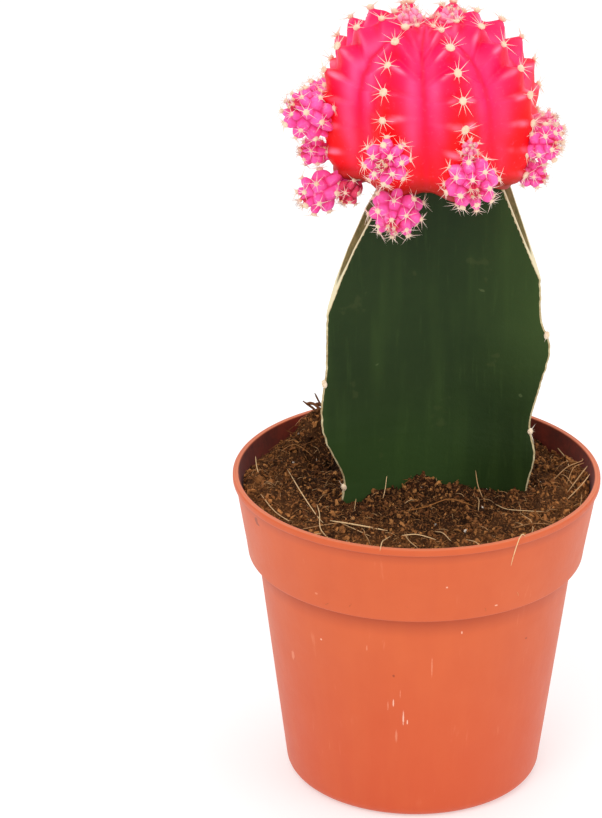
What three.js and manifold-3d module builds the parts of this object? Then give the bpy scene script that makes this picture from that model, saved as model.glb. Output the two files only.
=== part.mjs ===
// Potted moon cactus: a red ribbed scion grafted on a three-winged green stem,
// with offsets budding round it, rooted in peat in a plastic nursery pot.
// Millimetres, +Z up. The origin is the centre of the circle that the pot stands on.

import * as THREE from 'three';
import { mergeVertices } from 'three/addons/utils/BufferGeometryUtils.js';
import Module from 'manifold-3d';

const wasm = await Module();
wasm.setup();

// Clearance left between pieces where one is shaped round another.
const CLEARANCE = 0.3;
// Slack for comparing coordinates that should be equal.
const HAIR = 0.01;

// Pot: a tapered cup with a stepped collar, a lip and a foot ring.
const POT_HEIGHT = 49;
const POT_SIDES = 56;
const LIP_RADIUS = 27.5;
const LIP_HEIGHT = 1.1;
const LIP_OVERHANG = 0.45;
const LIP_ROUNDING = 0.3;
const COLLAR_HEIGHT = 12.7;
const COLLAR_LOW_RADIUS = 25.2;
const COLLAR_ROUNDING = 0.35;
const BODY_TOP_RADIUS = 23.65;
const FOOT_RADIUS = 19.15;
const FOOT_ROUNDING = 0.8;
const WALL = 0.9;
const FLOOR_UNDERSIDE = 1.6;
const FLOOR_TOP = 2.6;
const FOOT_RING_WIDTH = 1.4;
const DRAIN_RING_HOLES = 6;
const DRAIN_RING_RADIUS = 12;
const DRAIN_HOLE_RADIUS = 2;
const CENTRE_DRAIN_RADIUS = 2.5;
const DRAIN_SIDES = 16;

// Peat: fills the pot to just under the lip, with an uneven top.
const SOIL_LEVEL = 46.2;
const SOIL_RINGS = [21, 17, 13, 9, 5];
const SOIL_SIDES = 40;
// Each heap or hollow: x, y, rise (negative for a hollow), spread.
const SOIL_HEAPS = [
  [2, 0, 1.0, 9],
  [-14.5, 18, 2.6, 4],
  [-13, 6, -2.6, 4],
  [19, 12, -0.9, 5],
  [-4, -17, 0.6, 5],
];

// Rootstock: a stem with three wings, planted deep and cut off flat for the graft.
const STEM_X = 2.5;
const STEM_Y = 3.7;
const STEM_BURIED_END = 20;
const GRAFT_HEIGHT = 95;
const FIRST_WING_ANGLE = THREE.MathUtils.degToRad(215);
const WING_COUNT = 3;
const STEM_CORE_RADIUS = 5.3;
const STEM_SIDES = 36;
const STEM_ROWS = 28;
// A wing's half thickness is a rounded tip plus a flare that runs out into the core.
const WING_TIP_SHARE = 0.3;
const WING_TIP_POWER = 0.4;
const WING_FLARE_POWER = 2.7;
// Crowds the points of a section towards the wing tips.
const TIP_CROWDING = 1.5;
// Wing tip reach at each height, from the buried end up to the graft.
const WING_OUTLINES = [
  [[20, 12], [38, 15], [46, 16.6], [50, 16.2], [57, 19.4], [62, 20], [68.5, 18.9],
    [77.6, 18.5], [82, 17.1], [86.5, 15.2], [92, 11.8], [95, 9]],
  [[20, 11], [38, 14], [47.8, 15.5], [53, 16.6], [58, 15.7], [64.8, 17.3], [70.7, 18.2],
    [75, 17.1], [81, 16.8], [88, 13.9], [95, 10.9]],
  [[20, 11], [38, 14.5], [47, 16], [54, 17.2], [60, 16.4], [66, 17.4], [73, 16.6],
    [80, 16.4], [87, 14.2], [95, 9.8]],
];

// Scion: a flattened globe with deep ribs, each rib a row of tubercles.
const SCION_X = 1.6;
const SCION_Y = 3.5;
const SCION_RIBS = 8;
const SCION_SIDES = SCION_RIBS * 6;
const SCION_ROWS = 28;
const FIRST_RIB_ANGLE = THREE.MathUtils.degToRad(243.6);
const FURROW_DEPTH = 2.6;
const FURROW_SHARPNESS = 0.8;
const TUBERCLE_DEPTH = 0.9;
const TUBERCLES_PER_RIB = 8;
// Rib crest outline, radius and height, from the crown dimple to the graft.
const SCION_OUTLINE = [[0, 117.4], [3.5, 118.3], [7.4, 119.1], [11.1, 117.6], [14.3, 114.6],
  [16.1, 111.1], [16.6, 106.8], [16.3, 103], [15.7, 99.8], [14.7, 97.3], [12.8, 95.6],
  [10.4, GRAFT_HEIGHT]];
// Shares of the crest outline over which the ribs rise at the crown and fade at the graft.
const CROWN_SHARE = 0.12;
const GRAFT_SHARE = 0.12;

// Offsets: direction from the scion's axis in degrees, distance from it, height, radius,
// then the direction and the rise in degrees in which the crown points, and the neck's reach.
const OFFSETS = [
  [201, 19.5, 106.1, 3.8, 208, 38, 4.6],
  [195, 17.6, 99.7, 2.2, 196, 8, 3.2],
  [203, 17.7, 94.1, 3.05, 201, -22, 5.2],
  [211, 13.5, 93.7, 1.6, 228, -45, 3.0],
  [250, 18.1, 102.6, 3.4, 258, 10, 3.8],
  [249, 13.6, 93.8, 3.95, 258, -30, 4.6],
  [289, 17.8, 99.6, 3.95, 278, -4, 4.2],
  [290, 16.9, 104.4, 1.3, 286, 32, 2.0],
  [338, 17.5, 101.7, 2.9, 326, 12, 3.4],
  [341, 15.9, 96.8, 2.35, 334, -20, 3.4],
  [353, 17.0, 104.0, 1.15, 351, 14, 3.8],
  [187, 3.2, 119.1, 1.85, 215, 74, 2.4],
  [4, 2.5, 119.0, 1.75, 330, 76, 2.4],
  [152, 18.5, 103.0, 3.3, 156, 20, 3.8],
  [128, 15.2, 96.2, 2.9, 124, -18, 4.0],
  [103, 18.2, 100.2, 3.7, 100, 2, 4.2],
  [72, 18.0, 104.2, 2.5, 70, 28, 3.2],
  [55, 15.2, 96.0, 3.2, 52, -22, 4.2],
  [22, 17.8, 98.8, 3.0, 18, 4, 3.8],
];
const OFFSET_RIBS = 8;
const OFFSET_SIDES = OFFSET_RIBS * 2;
const OFFSET_ROWS = 8;
const OFFSET_RIB_DEPTH = 0.14;
const OFFSET_CROWN_FLATNESS = 0.9;

const plastic = new THREE.MeshStandardMaterial({ color: 0xdf6f45, roughness: 0.5, metalness: 0 });
const peat = new THREE.MeshStandardMaterial({ color: 0x70472e, roughness: 1, metalness: 0 });
const greenSkin = new THREE.MeshStandardMaterial({ color: 0x304a26, roughness: 0.55, metalness: 0 });
const redSkin = new THREE.MeshStandardMaterial({ color: 0xff2e5c, roughness: 0.5, metalness: 0 });
const pinkSkin = new THREE.MeshStandardMaterial({ color: 0xf76fb0, roughness: 0.5, metalness: 0 });

// Joins a geometry's shared vertices and drops the triangles that collapse at its poles.
function welded(geometry) {
  const bare = new THREE.BufferGeometry();
  bare.setAttribute('position', geometry.getAttribute('position').clone());
  if (geometry.index) bare.setIndex(geometry.index.clone());
  const merged = mergeVertices(bare);
  const corners = merged.index.array;
  const kept = [];
  for (let i = 0; i < corners.length; i += 3) {
    const [a, b, c] = corners.slice(i, i + 3);
    if (a !== b && b !== c && c !== a) kept.push(a, b, c);
  }
  merged.setIndex(kept);
  return merged;
}

// Turns an outline of [radius, height] points about the Z axis.
function turned(outline, sides) {
  const points = outline.map(([radius, height]) => new THREE.Vector2(radius, height));
  const geometry = new THREE.LatheGeometry(points, sides);
  geometry.rotateX(Math.PI / 2);
  return welded(geometry);
}

// Moves every vertex to where place(vertex) puts it.
function reshaped(geometry, place) {
  const positions = geometry.getAttribute('position');
  const vertex = new THREE.Vector3();
  for (let i = 0; i < positions.count; i += 1) {
    vertex.fromBufferAttribute(positions, i);
    const moved = place(vertex);
    positions.setXYZ(i, moved.x, moved.y, moved.z);
  }
  return geometry;
}

// A closed skin of rings between two poles. place(angle, up) gives the point at an angle
// round the skin and a share of the way up it, from 0 at the low pole to 1 at the high one.
function ringed(sides, rows, place) {
  const outline = [[0, 0]];
  for (let i = 1; i < rows; i += 1) outline.push([1, i / rows]);
  outline.push([0, 1]);
  const onSkin = (vertex) => place(Math.atan2(vertex.y, vertex.x), vertex.z);
  return reshaped(turned(outline, sides), onSkin);
}

// A copy whose skin stands out from the original by the given distance.
function grown(geometry, distance) {
  const copy = geometry.clone();
  copy.computeVertexNormals();
  const normals = copy.getAttribute('normal');
  const normal = new THREE.Vector3();
  let i = 0;
  return reshaped(copy, (vertex) => {
    normal.fromBufferAttribute(normals, i);
    i += 1;
    return vertex.addScaledVector(normal, distance);
  });
}

function toSolid(geometry) {
  const mesh = welded(geometry);
  return new wasm.Manifold(new wasm.Mesh({
    numProp: 3,
    vertProperties: new Float32Array(mesh.getAttribute('position').array),
    triVerts: new Uint32Array(mesh.index.array),
  }));
}

function named(name, solid, material) {
  const { vertProperties, triVerts } = solid.getMesh();
  const geometry = new THREE.BufferGeometry();
  geometry.setAttribute('position', new THREE.BufferAttribute(vertProperties, 3));
  geometry.setIndex(new THREE.BufferAttribute(triVerts, 1));
  geometry.computeVertexNormals();
  const mesh = new THREE.Mesh(geometry, material);
  mesh.name = name;
  return mesh;
}

// How far a value lies between two others, from 0 to 1.
function share(value, low, high) {
  return THREE.MathUtils.clamp((value - low) / (high - low), 0, 1);
}

// Radius at a height on an outline of [height, radius] points.
function radiusAt(outline, height) {
  let i = 0;
  while (i < outline.length - 2 && height > outline[i + 1][0]) i += 1;
  const [lowHeight, lowRadius] = outline[i];
  const [highHeight, highRadius] = outline[i + 1];
  return THREE.MathUtils.lerp(lowRadius, highRadius, share(height, lowHeight, highHeight));
}

// 0 on a rib's crest and 1 in the furrow beside it.
function furrowShape(angle, ribs) {
  const turns = (angle * ribs) / (2 * Math.PI);
  const fromCrest = Math.abs(turns - Math.round(turns));
  return (2 * fromCrest) ** FURROW_SHARPNESS;
}

// ---- Pot ----

const COLLAR_BOTTOM = POT_HEIGHT - COLLAR_HEIGHT;
const COLLAR_TOP_RADIUS = LIP_RADIUS - LIP_OVERHANG;
const LIP_BOTTOM = POT_HEIGHT - LIP_HEIGHT;
const STANDING_RADIUS = FOOT_RADIUS - FOOT_ROUNDING;

// The pot's inner wall as [height, radius], from its floor to its lip.
const POT_BORE = [
  [FLOOR_TOP, FOOT_RADIUS - WALL],
  [COLLAR_BOTTOM, BODY_TOP_RADIUS - WALL],
  [COLLAR_BOTTOM + WALL, COLLAR_LOW_RADIUS - WALL],
  [POT_HEIGHT, COLLAR_TOP_RADIUS - WALL],
];

function drainCutter(radius, x, y) {
  const cutter = new THREE.CylinderGeometry(radius, radius, FLOOR_TOP * 2, DRAIN_SIDES);
  cutter.rotateX(Math.PI / 2);
  cutter.translate(x, y, FLOOR_TOP);
  return toSolid(cutter);
}

function makePot() {
  const outside = [
    [0, FLOOR_UNDERSIDE],
    [STANDING_RADIUS - FOOT_RING_WIDTH, FLOOR_UNDERSIDE],
    [STANDING_RADIUS - FOOT_RING_WIDTH, 0],
    [STANDING_RADIUS, 0],
    [FOOT_RADIUS - FOOT_ROUNDING * (1 - Math.SQRT1_2), FOOT_ROUNDING * (1 - Math.SQRT1_2)],
    [FOOT_RADIUS, FOOT_ROUNDING],
    [BODY_TOP_RADIUS, COLLAR_BOTTOM],
    [COLLAR_LOW_RADIUS - COLLAR_ROUNDING, COLLAR_BOTTOM],
    [COLLAR_LOW_RADIUS, COLLAR_BOTTOM + COLLAR_ROUNDING],
    [COLLAR_TOP_RADIUS, LIP_BOTTOM],
    [LIP_RADIUS - LIP_ROUNDING, LIP_BOTTOM],
    [LIP_RADIUS, LIP_BOTTOM + LIP_ROUNDING],
    [LIP_RADIUS, POT_HEIGHT - LIP_ROUNDING],
    [LIP_RADIUS - LIP_ROUNDING, POT_HEIGHT],
  ];
  const inside = POT_BORE.map(([height, radius]) => [radius, height]).reverse();
  let pot = toSolid(turned([...outside, ...inside, [0, FLOOR_TOP]], POT_SIDES));
  for (let i = 0; i < DRAIN_RING_HOLES; i += 1) {
    const angle = (i * 2 * Math.PI) / DRAIN_RING_HOLES;
    const x = DRAIN_RING_RADIUS * Math.cos(angle);
    const y = DRAIN_RING_RADIUS * Math.sin(angle);
    pot = pot.subtract(drainCutter(DRAIN_HOLE_RADIUS, x, y));
  }
  return pot.subtract(drainCutter(CENTRE_DRAIN_RADIUS, 0, 0));
}

// ---- Rootstock ----

// Half thickness of a wing, as a share of its half width at the core, from tip to core.
function wingThickness(inward) {
  const tip = WING_TIP_SHARE * inward ** WING_TIP_POWER;
  return tip + (1 - WING_TIP_SHARE) * inward ** WING_FLARE_POWER;
}

function onStem(angle, up) {
  const level = share(up, 1 / STEM_ROWS, 1 - 1 / STEM_ROWS);
  const height = THREE.MathUtils.lerp(STEM_BURIED_END, GRAFT_HEIGHT, level);
  if (up === 0 || up === 1) return new THREE.Vector3(STEM_X, STEM_Y, height);
  const sector = (2 * Math.PI) / WING_COUNT;
  const turns = THREE.MathUtils.euclideanModulo(angle / sector, WING_COUNT);
  const wing = Math.round(turns) % WING_COUNT;
  const side = (turns - Math.round(turns)) * 2;
  const inward = Math.abs(side) ** TIP_CROWDING;
  const valleyDistance = STEM_CORE_RADIUS * Math.cos(sector / 2);
  const valleyHalfWidth = STEM_CORE_RADIUS * Math.sin(sector / 2);
  const reach = radiusAt(WING_OUTLINES[wing], height);
  const along = THREE.MathUtils.lerp(reach, valleyDistance, inward);
  const across = Math.sign(side) * valleyHalfWidth * wingThickness(inward);
  const direction = FIRST_WING_ANGLE + wing * sector;
  const x = STEM_X + along * Math.cos(direction) - across * Math.sin(direction);
  const y = STEM_Y + along * Math.sin(direction) + across * Math.cos(direction);
  return new THREE.Vector3(x, y, height);
}

// ---- Peat ----

function soilHeight(x, y) {
  let height = SOIL_LEVEL;
  for (const [heapX, heapY, rise, spread] of SOIL_HEAPS) {
    const distance = Math.hypot(x - heapX, y - heapY) / spread;
    height += rise * Math.exp(-distance * distance);
  }
  return height;
}

function makeSoil(stem) {
  const edge = radiusAt(POT_BORE, SOIL_LEVEL) - CLEARANCE;
  const below = POT_BORE.filter(([height]) => height < SOIL_LEVEL);
  const walls = below.map(([height, radius]) => [radius - CLEARANCE, height]);
  const rings = [edge, ...SOIL_RINGS, 0].map((radius) => [radius, SOIL_LEVEL]);
  const block = turned([[0, FLOOR_TOP], ...walls, ...rings], SOIL_SIDES);
  reshaped(block, (vertex) => {
    if (vertex.z < SOIL_LEVEL - HAIR) return vertex;
    const height = soilHeight(vertex.x, vertex.y);
    const radius = Math.hypot(vertex.x, vertex.y);
    const room = radiusAt(POT_BORE, height) - CLEARANCE;
    const scale = radius > edge - HAIR ? room / radius : 1;
    return new THREE.Vector3(vertex.x * scale, vertex.y * scale, height);
  });
  return toSolid(block).subtract(toSolid(grown(stem, CLEARANCE)));
}

// ---- Scion ----

const SCION_CREST = new THREE.SplineCurve(
  SCION_OUTLINE.map(([radius, height]) => new THREE.Vector2(radius, height)),
);

function onScion(angle, up) {
  if (up === 0) return new THREE.Vector3(SCION_X, SCION_Y, GRAFT_HEIGHT);
  const down = 1 - share(up, 1 / SCION_ROWS, 1);
  const crest = SCION_CREST.getPointAt(down);
  if (up === 1) return new THREE.Vector3(SCION_X, SCION_Y, crest.y);
  const slope = SCION_CREST.getTangentAt(down);
  const fade = share(down, 0, CROWN_SHARE) * share(1 - down, 0, GRAFT_SHARE);
  const ripple = 0.5 - 0.5 * Math.cos(2 * Math.PI * TUBERCLES_PER_RIB * down);
  const furrow = furrowShape(angle, SCION_RIBS);
  const sink = fade * (FURROW_DEPTH * furrow + TUBERCLE_DEPTH * ripple * (1 - furrow));
  const radius = crest.x + slope.y * sink;
  const height = Math.max(crest.y - slope.x * sink, GRAFT_HEIGHT);
  const turn = FIRST_RIB_ANGLE + angle;
  const x = SCION_X + radius * Math.cos(turn);
  const y = SCION_Y + radius * Math.sin(turn);
  return new THREE.Vector3(x, y, height);
}

// ---- Offsets ----

// A little ribbed globe on a tapering neck, its crown on +Z.
function offsetGeometry(radius, neckReach) {
  return ringed(OFFSET_SIDES, OFFSET_ROWS, (angle, up) => {
    const polar = Math.PI * (1 - up);
    const length = polar > Math.PI / 2 ? neckReach : radius * OFFSET_CROWN_FLATNESS;
    const ribbed = 1 - OFFSET_RIB_DEPTH * furrowShape(angle, OFFSET_RIBS);
    const across = radius * ribbed * Math.sin(polar);
    return new THREE.Vector3(across * Math.cos(angle), across * Math.sin(angle), length * Math.cos(polar));
  });
}

function placedOffset([bearing, distance, height, radius, crownBearing, crownRise, neckReach]) {
  const bearingAngle = THREE.MathUtils.degToRad(bearing);
  const rise = THREE.MathUtils.degToRad(crownRise);
  const crownAngle = THREE.MathUtils.degToRad(crownBearing);
  const crown = new THREE.Vector3(
    Math.cos(rise) * Math.cos(crownAngle),
    Math.cos(rise) * Math.sin(crownAngle),
    Math.sin(rise),
  );
  const upright = new THREE.Vector3(0, 0, 1);
  const geometry = offsetGeometry(radius, neckReach);
  geometry.applyQuaternion(new THREE.Quaternion().setFromUnitVectors(upright, crown));
  const x = SCION_X + distance * Math.cos(bearingAngle);
  const y = SCION_Y + distance * Math.sin(bearingAngle);
  geometry.translate(x, y, height);
  return geometry;
}

// Each offset is cut clear of the plant that carries it and of the offsets made before it.
function makeOffsets(carriers) {
  let taken = carriers[0];
  carriers.slice(1).forEach((carrier) => {
    taken = taken.add(carrier);
  });
  return OFFSETS.map((row) => {
    const geometry = placedOffset(row);
    const offset = toSolid(geometry).subtract(taken);
    taken = taken.add(toSolid(grown(geometry, CLEARANCE)));
    return offset;
  });
}

// ---- Assembly ----

const stem = ringed(STEM_SIDES, STEM_ROWS, onStem);
const scion = ringed(SCION_SIDES, SCION_ROWS, onScion);
const clearOfPlant = [stem, scion].map((geometry) => toSolid(grown(geometry, CLEARANCE)));

const plant = new THREE.Group();
plant.add(named('rootstock', toSolid(stem), greenSkin));
plant.add(named('scion', toSolid(scion), redSkin));
makeOffsets(clearOfPlant).forEach((offset, i) => {
  const number = String(i + 1).padStart(2, '0');
  plant.add(named(`offset_${number}`, offset, pinkSkin));
});

const cactus = new THREE.Group();
cactus.add(named('pot', makePot(), plastic));
cactus.add(named('potting_soil', makeSoil(stem), peat));
cactus.add(plant);

export default cactus;
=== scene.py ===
"""Potted moon cactus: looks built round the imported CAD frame. Metres, +Z up.

A red ribbed scion with pink offsets, grafted on a dark green three-winged stem,
in peat and coir in a terracotta-coloured plastic nursery pot.
"""

import math

import bpy
import numpy as np
from mathutils import Matrix, Quaternion, Vector, noise


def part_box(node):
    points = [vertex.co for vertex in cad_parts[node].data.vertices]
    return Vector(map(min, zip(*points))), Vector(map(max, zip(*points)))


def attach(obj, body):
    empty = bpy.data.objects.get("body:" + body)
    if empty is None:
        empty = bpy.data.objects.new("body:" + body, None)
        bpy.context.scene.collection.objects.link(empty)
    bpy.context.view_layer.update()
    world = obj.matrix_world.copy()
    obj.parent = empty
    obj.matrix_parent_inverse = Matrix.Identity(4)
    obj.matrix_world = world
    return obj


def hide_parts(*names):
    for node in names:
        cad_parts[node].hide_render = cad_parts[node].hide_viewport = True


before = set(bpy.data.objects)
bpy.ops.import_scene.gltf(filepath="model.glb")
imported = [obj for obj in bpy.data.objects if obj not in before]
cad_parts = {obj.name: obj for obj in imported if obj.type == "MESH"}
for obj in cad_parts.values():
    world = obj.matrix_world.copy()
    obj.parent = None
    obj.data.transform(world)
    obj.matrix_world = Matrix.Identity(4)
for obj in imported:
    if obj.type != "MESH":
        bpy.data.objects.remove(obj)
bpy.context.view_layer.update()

MM = 0.001
TURN = 2 * math.pi
SEED = 7
WHITE = (1.0, 1.0, 1.0, 1.0)


def rgb(red, green, blue):
    """Display values from 0 to 255, as the linear colour that a shader takes."""
    def linear(value):
        share = value / 255
        return share / 12.92 if share <= 0.04045 else ((share + 0.055) / 1.055) ** 2.4
    return (linear(red), linear(green), linear(blue), 1.0)


# ---- Writing node trees ----


def found(sockets, key):
    """The socket with that number or name, or the first, among those in use."""
    if isinstance(key, int):
        return sockets[key]
    return next(socket for socket in sockets if socket.enabled and key in (None, socket.name))


def sum_sign(operation, turned=False):
    """A way to join a wire and another value by a Math node, in that order or turned round."""
    def joined(wire, value):
        values = (value, wire) if turned else (wire, value)
        return wire.net.math(operation, *values)
    return joined


class Wire:
    """A node's output. Wires take part in sums as numbers do, by making Math nodes."""

    __add__, __radd__ = sum_sign("ADD"), sum_sign("ADD", True)
    __sub__, __rsub__ = sum_sign("SUBTRACT"), sum_sign("SUBTRACT", True)
    __mul__, __rmul__ = sum_sign("MULTIPLY"), sum_sign("MULTIPLY", True)
    __truediv__, __rtruediv__ = sum_sign("DIVIDE"), sum_sign("DIVIDE", True)
    __pow__ = sum_sign("POWER")

    def __init__(self, net, socket):
        self.net = net
        self.socket = socket

    def other(self, name):
        """Another output of the same node."""
        return Wire(self.net, found(self.socket.node.outputs, name))


class Net:
    """Writes the nodes of one tree."""

    def __init__(self, tree):
        self.tree = tree

    def add(self, kind, feeds=None, out=None, **settings):
        """Makes a node, from {input: value, Wire or list of Wires}, and gives the output wanted."""
        node = self.tree.nodes.new(kind)
        for name, value in settings.items():
            setattr(node, name, value)
        for key, value in (feeds or {}).items():
            self.feed(found(node.inputs, key), value)
        return Wire(self, found(node.outputs, out))

    def feed(self, socket, value):
        for one in value if isinstance(value, list) else [value]:
            if isinstance(one, Wire):
                self.tree.links.new(one.socket, socket)
            else:
                socket.default_value = one

    def use(self, group, feeds, out=None):
        """Places a node group."""
        kind = group.bl_idname.replace("Tree", "Group")
        return self.add(kind, feeds, out, node_tree=group)

    def math(self, operation, *values):
        return self.add("ShaderNodeMath", dict(enumerate(values)), operation=operation)

    def vector(self, operation, *values, out="Vector"):
        feeds = dict(enumerate(values))
        return self.add("ShaderNodeVectorMath", feeds, out, operation=operation)

    def scaled(self, vector, number):
        return self.add("ShaderNodeVectorMath", {0: vector, "Scale": number}, operation="SCALE")

    def centred(self, colour):
        """A colour as a shift, from -0.5 to 0.5 each way."""
        return self.vector("SUBTRACT", colour, (0.5, 0.5, 0.5))

    def joined(self, x, y, z):
        return self.add("ShaderNodeCombineXYZ", {0: x, 1: y, 2: z})

    def parted(self, vector):
        x = self.add("ShaderNodeSeparateXYZ", {0: vector})
        return x, x.other("Y"), x.other("Z")

    def ramp(self, value, low, high, start=0.0, end=1.0):
        """An eased step from start at low to end at high."""
        feeds = {"Value": value, 1: low, 2: high, 3: start, 4: end}
        return self.add("ShaderNodeMapRange", feeds, interpolation_type="SMOOTHSTEP")

    def held(self, value, low, high):
        return self.math("MINIMUM", self.math("MAXIMUM", value, low), high)

    def bell(self, value, width):
        """1 where value is 0, falling away over width on both sides."""
        return self.math("EXPONENT", ((value / width) ** 2.0) * -1.0)

    def mix(self, share, first, second, blend="MIX"):
        feeds = {0: share, 6: first, 7: second}
        return self.add("ShaderNodeMix", feeds, 2, data_type="RGBA", blend_type=blend)

    def noise(self, point, scale, detail=2.0, roughness=0.5, distortion=0.0, out=None):
        feeds = {
            "Vector": point, "Scale": scale, "Detail": detail,
            "Roughness": roughness, "Distortion": distortion,
        }
        return self.add("ShaderNodeTexNoise", feeds, out)

    def shape(self, kind, out=None, settings=None, **feeds):
        """Makes a geometry node by its short name; _ stands for a space in an input's name."""
        feeds = {label.replace("_", " "): value for label, value in feeds.items()}
        return self.add(f"GeometryNode{kind}", feeds, out, **(settings or {}))

    def position(self):
        return self.shape("InputPosition")

    def moved(self, geometry, **feeds):
        return self.shape("SetPosition", Geometry=geometry, **feeds)

    def smoothed(self, geometry):
        return self.add("GeometryNodeSetShadeSmooth", {0: geometry})

    def painted(self, geometry, material):
        return self.shape("SetMaterial", Geometry=geometry, Material=material)

    def random(self, low, high, seed):
        """A number or a vector for each point, at random."""
        sort = "FLOAT_VECTOR" if isinstance(low, tuple) else "FLOAT"
        feeds = {"Min": low, "Max": high, "Seed": seed}
        return self.add("FunctionNodeRandomValue", feeds, data_type=sort)

    def named(self, label, sort="FLOAT"):
        return self.shape("InputNamedAttribute", "Attribute", {"data_type": sort}, Name=label)

    def stored(self, geometry, sort="FLOAT", domain="POINT", **values):
        """Keeps values on a shape's points, or on its copies, by name."""
        settings = {"data_type": sort, "domain": domain}
        for label, value in values.items():
            feeds = {"Geometry": geometry, "Name": label, "Value": value}
            geometry = self.shape("StoreNamedAttribute", None, settings, **feeds)
        return geometry

    def placed(self, points, part, rotation, scale, **kept):
        """Copies of a part on points, each with values of its own, as plain geometry."""
        feeds = {"Points": points, "Instance": part, "Rotation": rotation, "Scale": scale}
        copies = self.stored(self.shape("InstanceOnPoints", **feeds), domain="INSTANCE", **kept)
        return self.shape("RealizeInstances", Geometry=copies)

    def one_of(self, values, index):
        """The value that is at that number in a list."""
        wire = self.add("GeometryNodeIndexSwitch", {"Index": index}, data_type="FLOAT")
        node = wire.socket.node
        while len(node.index_switch_items) < len(values):
            node.index_switch_items.new()
        for number, value in enumerate(values, 1):
            node.inputs[number].default_value = value
        return wire

    def graph(self, value, points, low, high):
        """A smooth graph through points, from low to high, read at value."""
        wire = self.add("ShaderNodeFloatCurve", {"Value": value})
        mapping = wire.socket.node.mapping
        line = mapping.curves[0]
        for _ in range(len(points) - 2):
            line.points.new(0.5, 0.5)
        for mark, (x, y) in zip(line.points, points):
            mark.location = (x, (y - low) / (high - low))
            mark.handle_type = "AUTO"
        mapping.extend = "HORIZONTAL"
        mapping.update()
        return wire * (high - low) + low


SOCKETS = {
    "geometry": "NodeSocketGeometry", "number": "NodeSocketFloat", "count": "NodeSocketInt",
    "vector": "NodeSocketVector", "material": "NodeSocketMaterial",
}


def numbers(*labels):
    return dict.fromkeys(labels, "number")


def new_group(name, inputs, outputs, kind="GeometryNodeTree"):
    """An empty node group with named inputs and outputs, as {name: sort of socket}."""
    tree = bpy.data.node_groups.new(name, kind)
    for side, sockets in (("INPUT", inputs), ("OUTPUT", outputs)):
        for label, sort in sockets.items():
            tree.interface.new_socket(label, in_out=side, socket_type=SOCKETS[sort])
    net = Net(tree)
    entry = tree.nodes.new("NodeGroupInput")
    ways_in = {label: Wire(net, entry.outputs[label]) for label in inputs}
    exit_node = tree.nodes.new("NodeGroupOutput")

    def put_out(label, value):
        net.feed(exit_node.inputs[label], value)

    return net, ways_in, put_out


# ---- Making pieces ----


def new_piece(name, mesh, materials=()):
    piece = bpy.data.objects.new(name, mesh)
    for material in materials:
        mesh.materials.append(material)
    bpy.context.scene.collection.objects.link(piece)
    return piece


def mesh_of(name, points, faces, smooth=True, marks=None):
    """A mesh from points and faces. marks are numbers kept for each point, by name."""
    mesh = bpy.data.meshes.new(name)
    mesh.from_pydata([tuple(point) for point in points], [], faces)
    mesh.validate()
    if smooth:
        mesh.shade_smooth()
    for label, values in (marks or {}).items():
        layer = mesh.attributes.new(label, "FLOAT", "POINT")
        layer.data.foreach_set("value", np.asarray(values, np.float32))
    return mesh


def made_plain(piece):
    """Keeps what a piece's modifiers make as its plain mesh."""
    graph = bpy.context.evaluated_depsgraph_get()
    mesh = bpy.data.meshes.new_from_object(
        piece.evaluated_get(graph), preserve_all_data_layers=True, depsgraph=graph
    )
    piece.modifiers.clear()
    piece.data = mesh
    mesh.name = piece.name
    return piece


def grown(name, tree, inputs, start=None):
    """Runs a geometry node tree on a mesh and keeps what it makes."""
    piece = new_piece(name, start or bpy.data.meshes.new(name))
    modifier = piece.modifiers.new(name, "NODES")
    modifier.node_group = tree
    for item in tree.interface.items_tree:
        if item.in_out == "INPUT" and item.name in inputs:
            modifier[item.identifier] = inputs[item.name]
    return made_plain(piece)


def skin_faces(rows, columns):
    """Faces of a closed tube of rings, ring by ring from the low end, with a point at each end."""
    faces = [(0, 1 + (c + 1) % columns, 1 + c) for c in range(columns)]
    for row in range(rows - 1):
        low, high = 1 + row * columns, 1 + (row + 1) * columns
        for c in range(columns):
            after = (c + 1) % columns
            faces.append((low + c, low + after, high + after, high + c))
    last, tip = 1 + (rows - 1) * columns, 1 + rows * columns
    faces += [(last + c, last + (c + 1) % columns, tip) for c in range(columns)]
    return faces


def smooth_line(points, count):
    """count points along a smooth curve through the given ones."""
    marks = np.asarray(points, float)
    ends = np.vstack([2 * marks[0] - marks[1], marks, 2 * marks[-1] - marks[-2]])
    spots = np.linspace(0, len(marks) - 1, count)
    left = np.minimum(spots.astype(int), len(marks) - 2)
    t = (spots - left)[:, None]
    a, b, c, d = (ends[left + k] for k in range(4))
    bend = 2 * a - 5 * b + 4 * c - d
    return b + 0.5 * t * (c - a + t * (bend + t * (3 * (b - c) + d - a)))


def smooth_value(outline, at):
    """Values on a smooth curve through [place, value] pairs, at the places asked for."""
    line = smooth_line(outline, 40 * len(outline))
    return np.interp(at, line[:, 0], line[:, 1])


# ---- Effects that several materials share ----


def mottle_group():
    """Soft blotches, from 0 to 1."""
    inputs = {"Point": "vector", **numbers("Scale", "Contrast")}
    net, way, put_out = new_group("soft mottle", inputs, {"Mask": "number"}, "ShaderNodeTree")
    broad = net.noise(way["Point"], way["Scale"], 3.0, 0.6)
    fine = net.noise(way["Point"], way["Scale"] * 4.3, 2.0, 0.5)
    blotch = (broad * 0.7 + fine * 0.3 - 0.5) * way["Contrast"] + 0.5
    put_out("Mask", net.held(blotch, 0.0, 1.0))
    return net.tree


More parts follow.
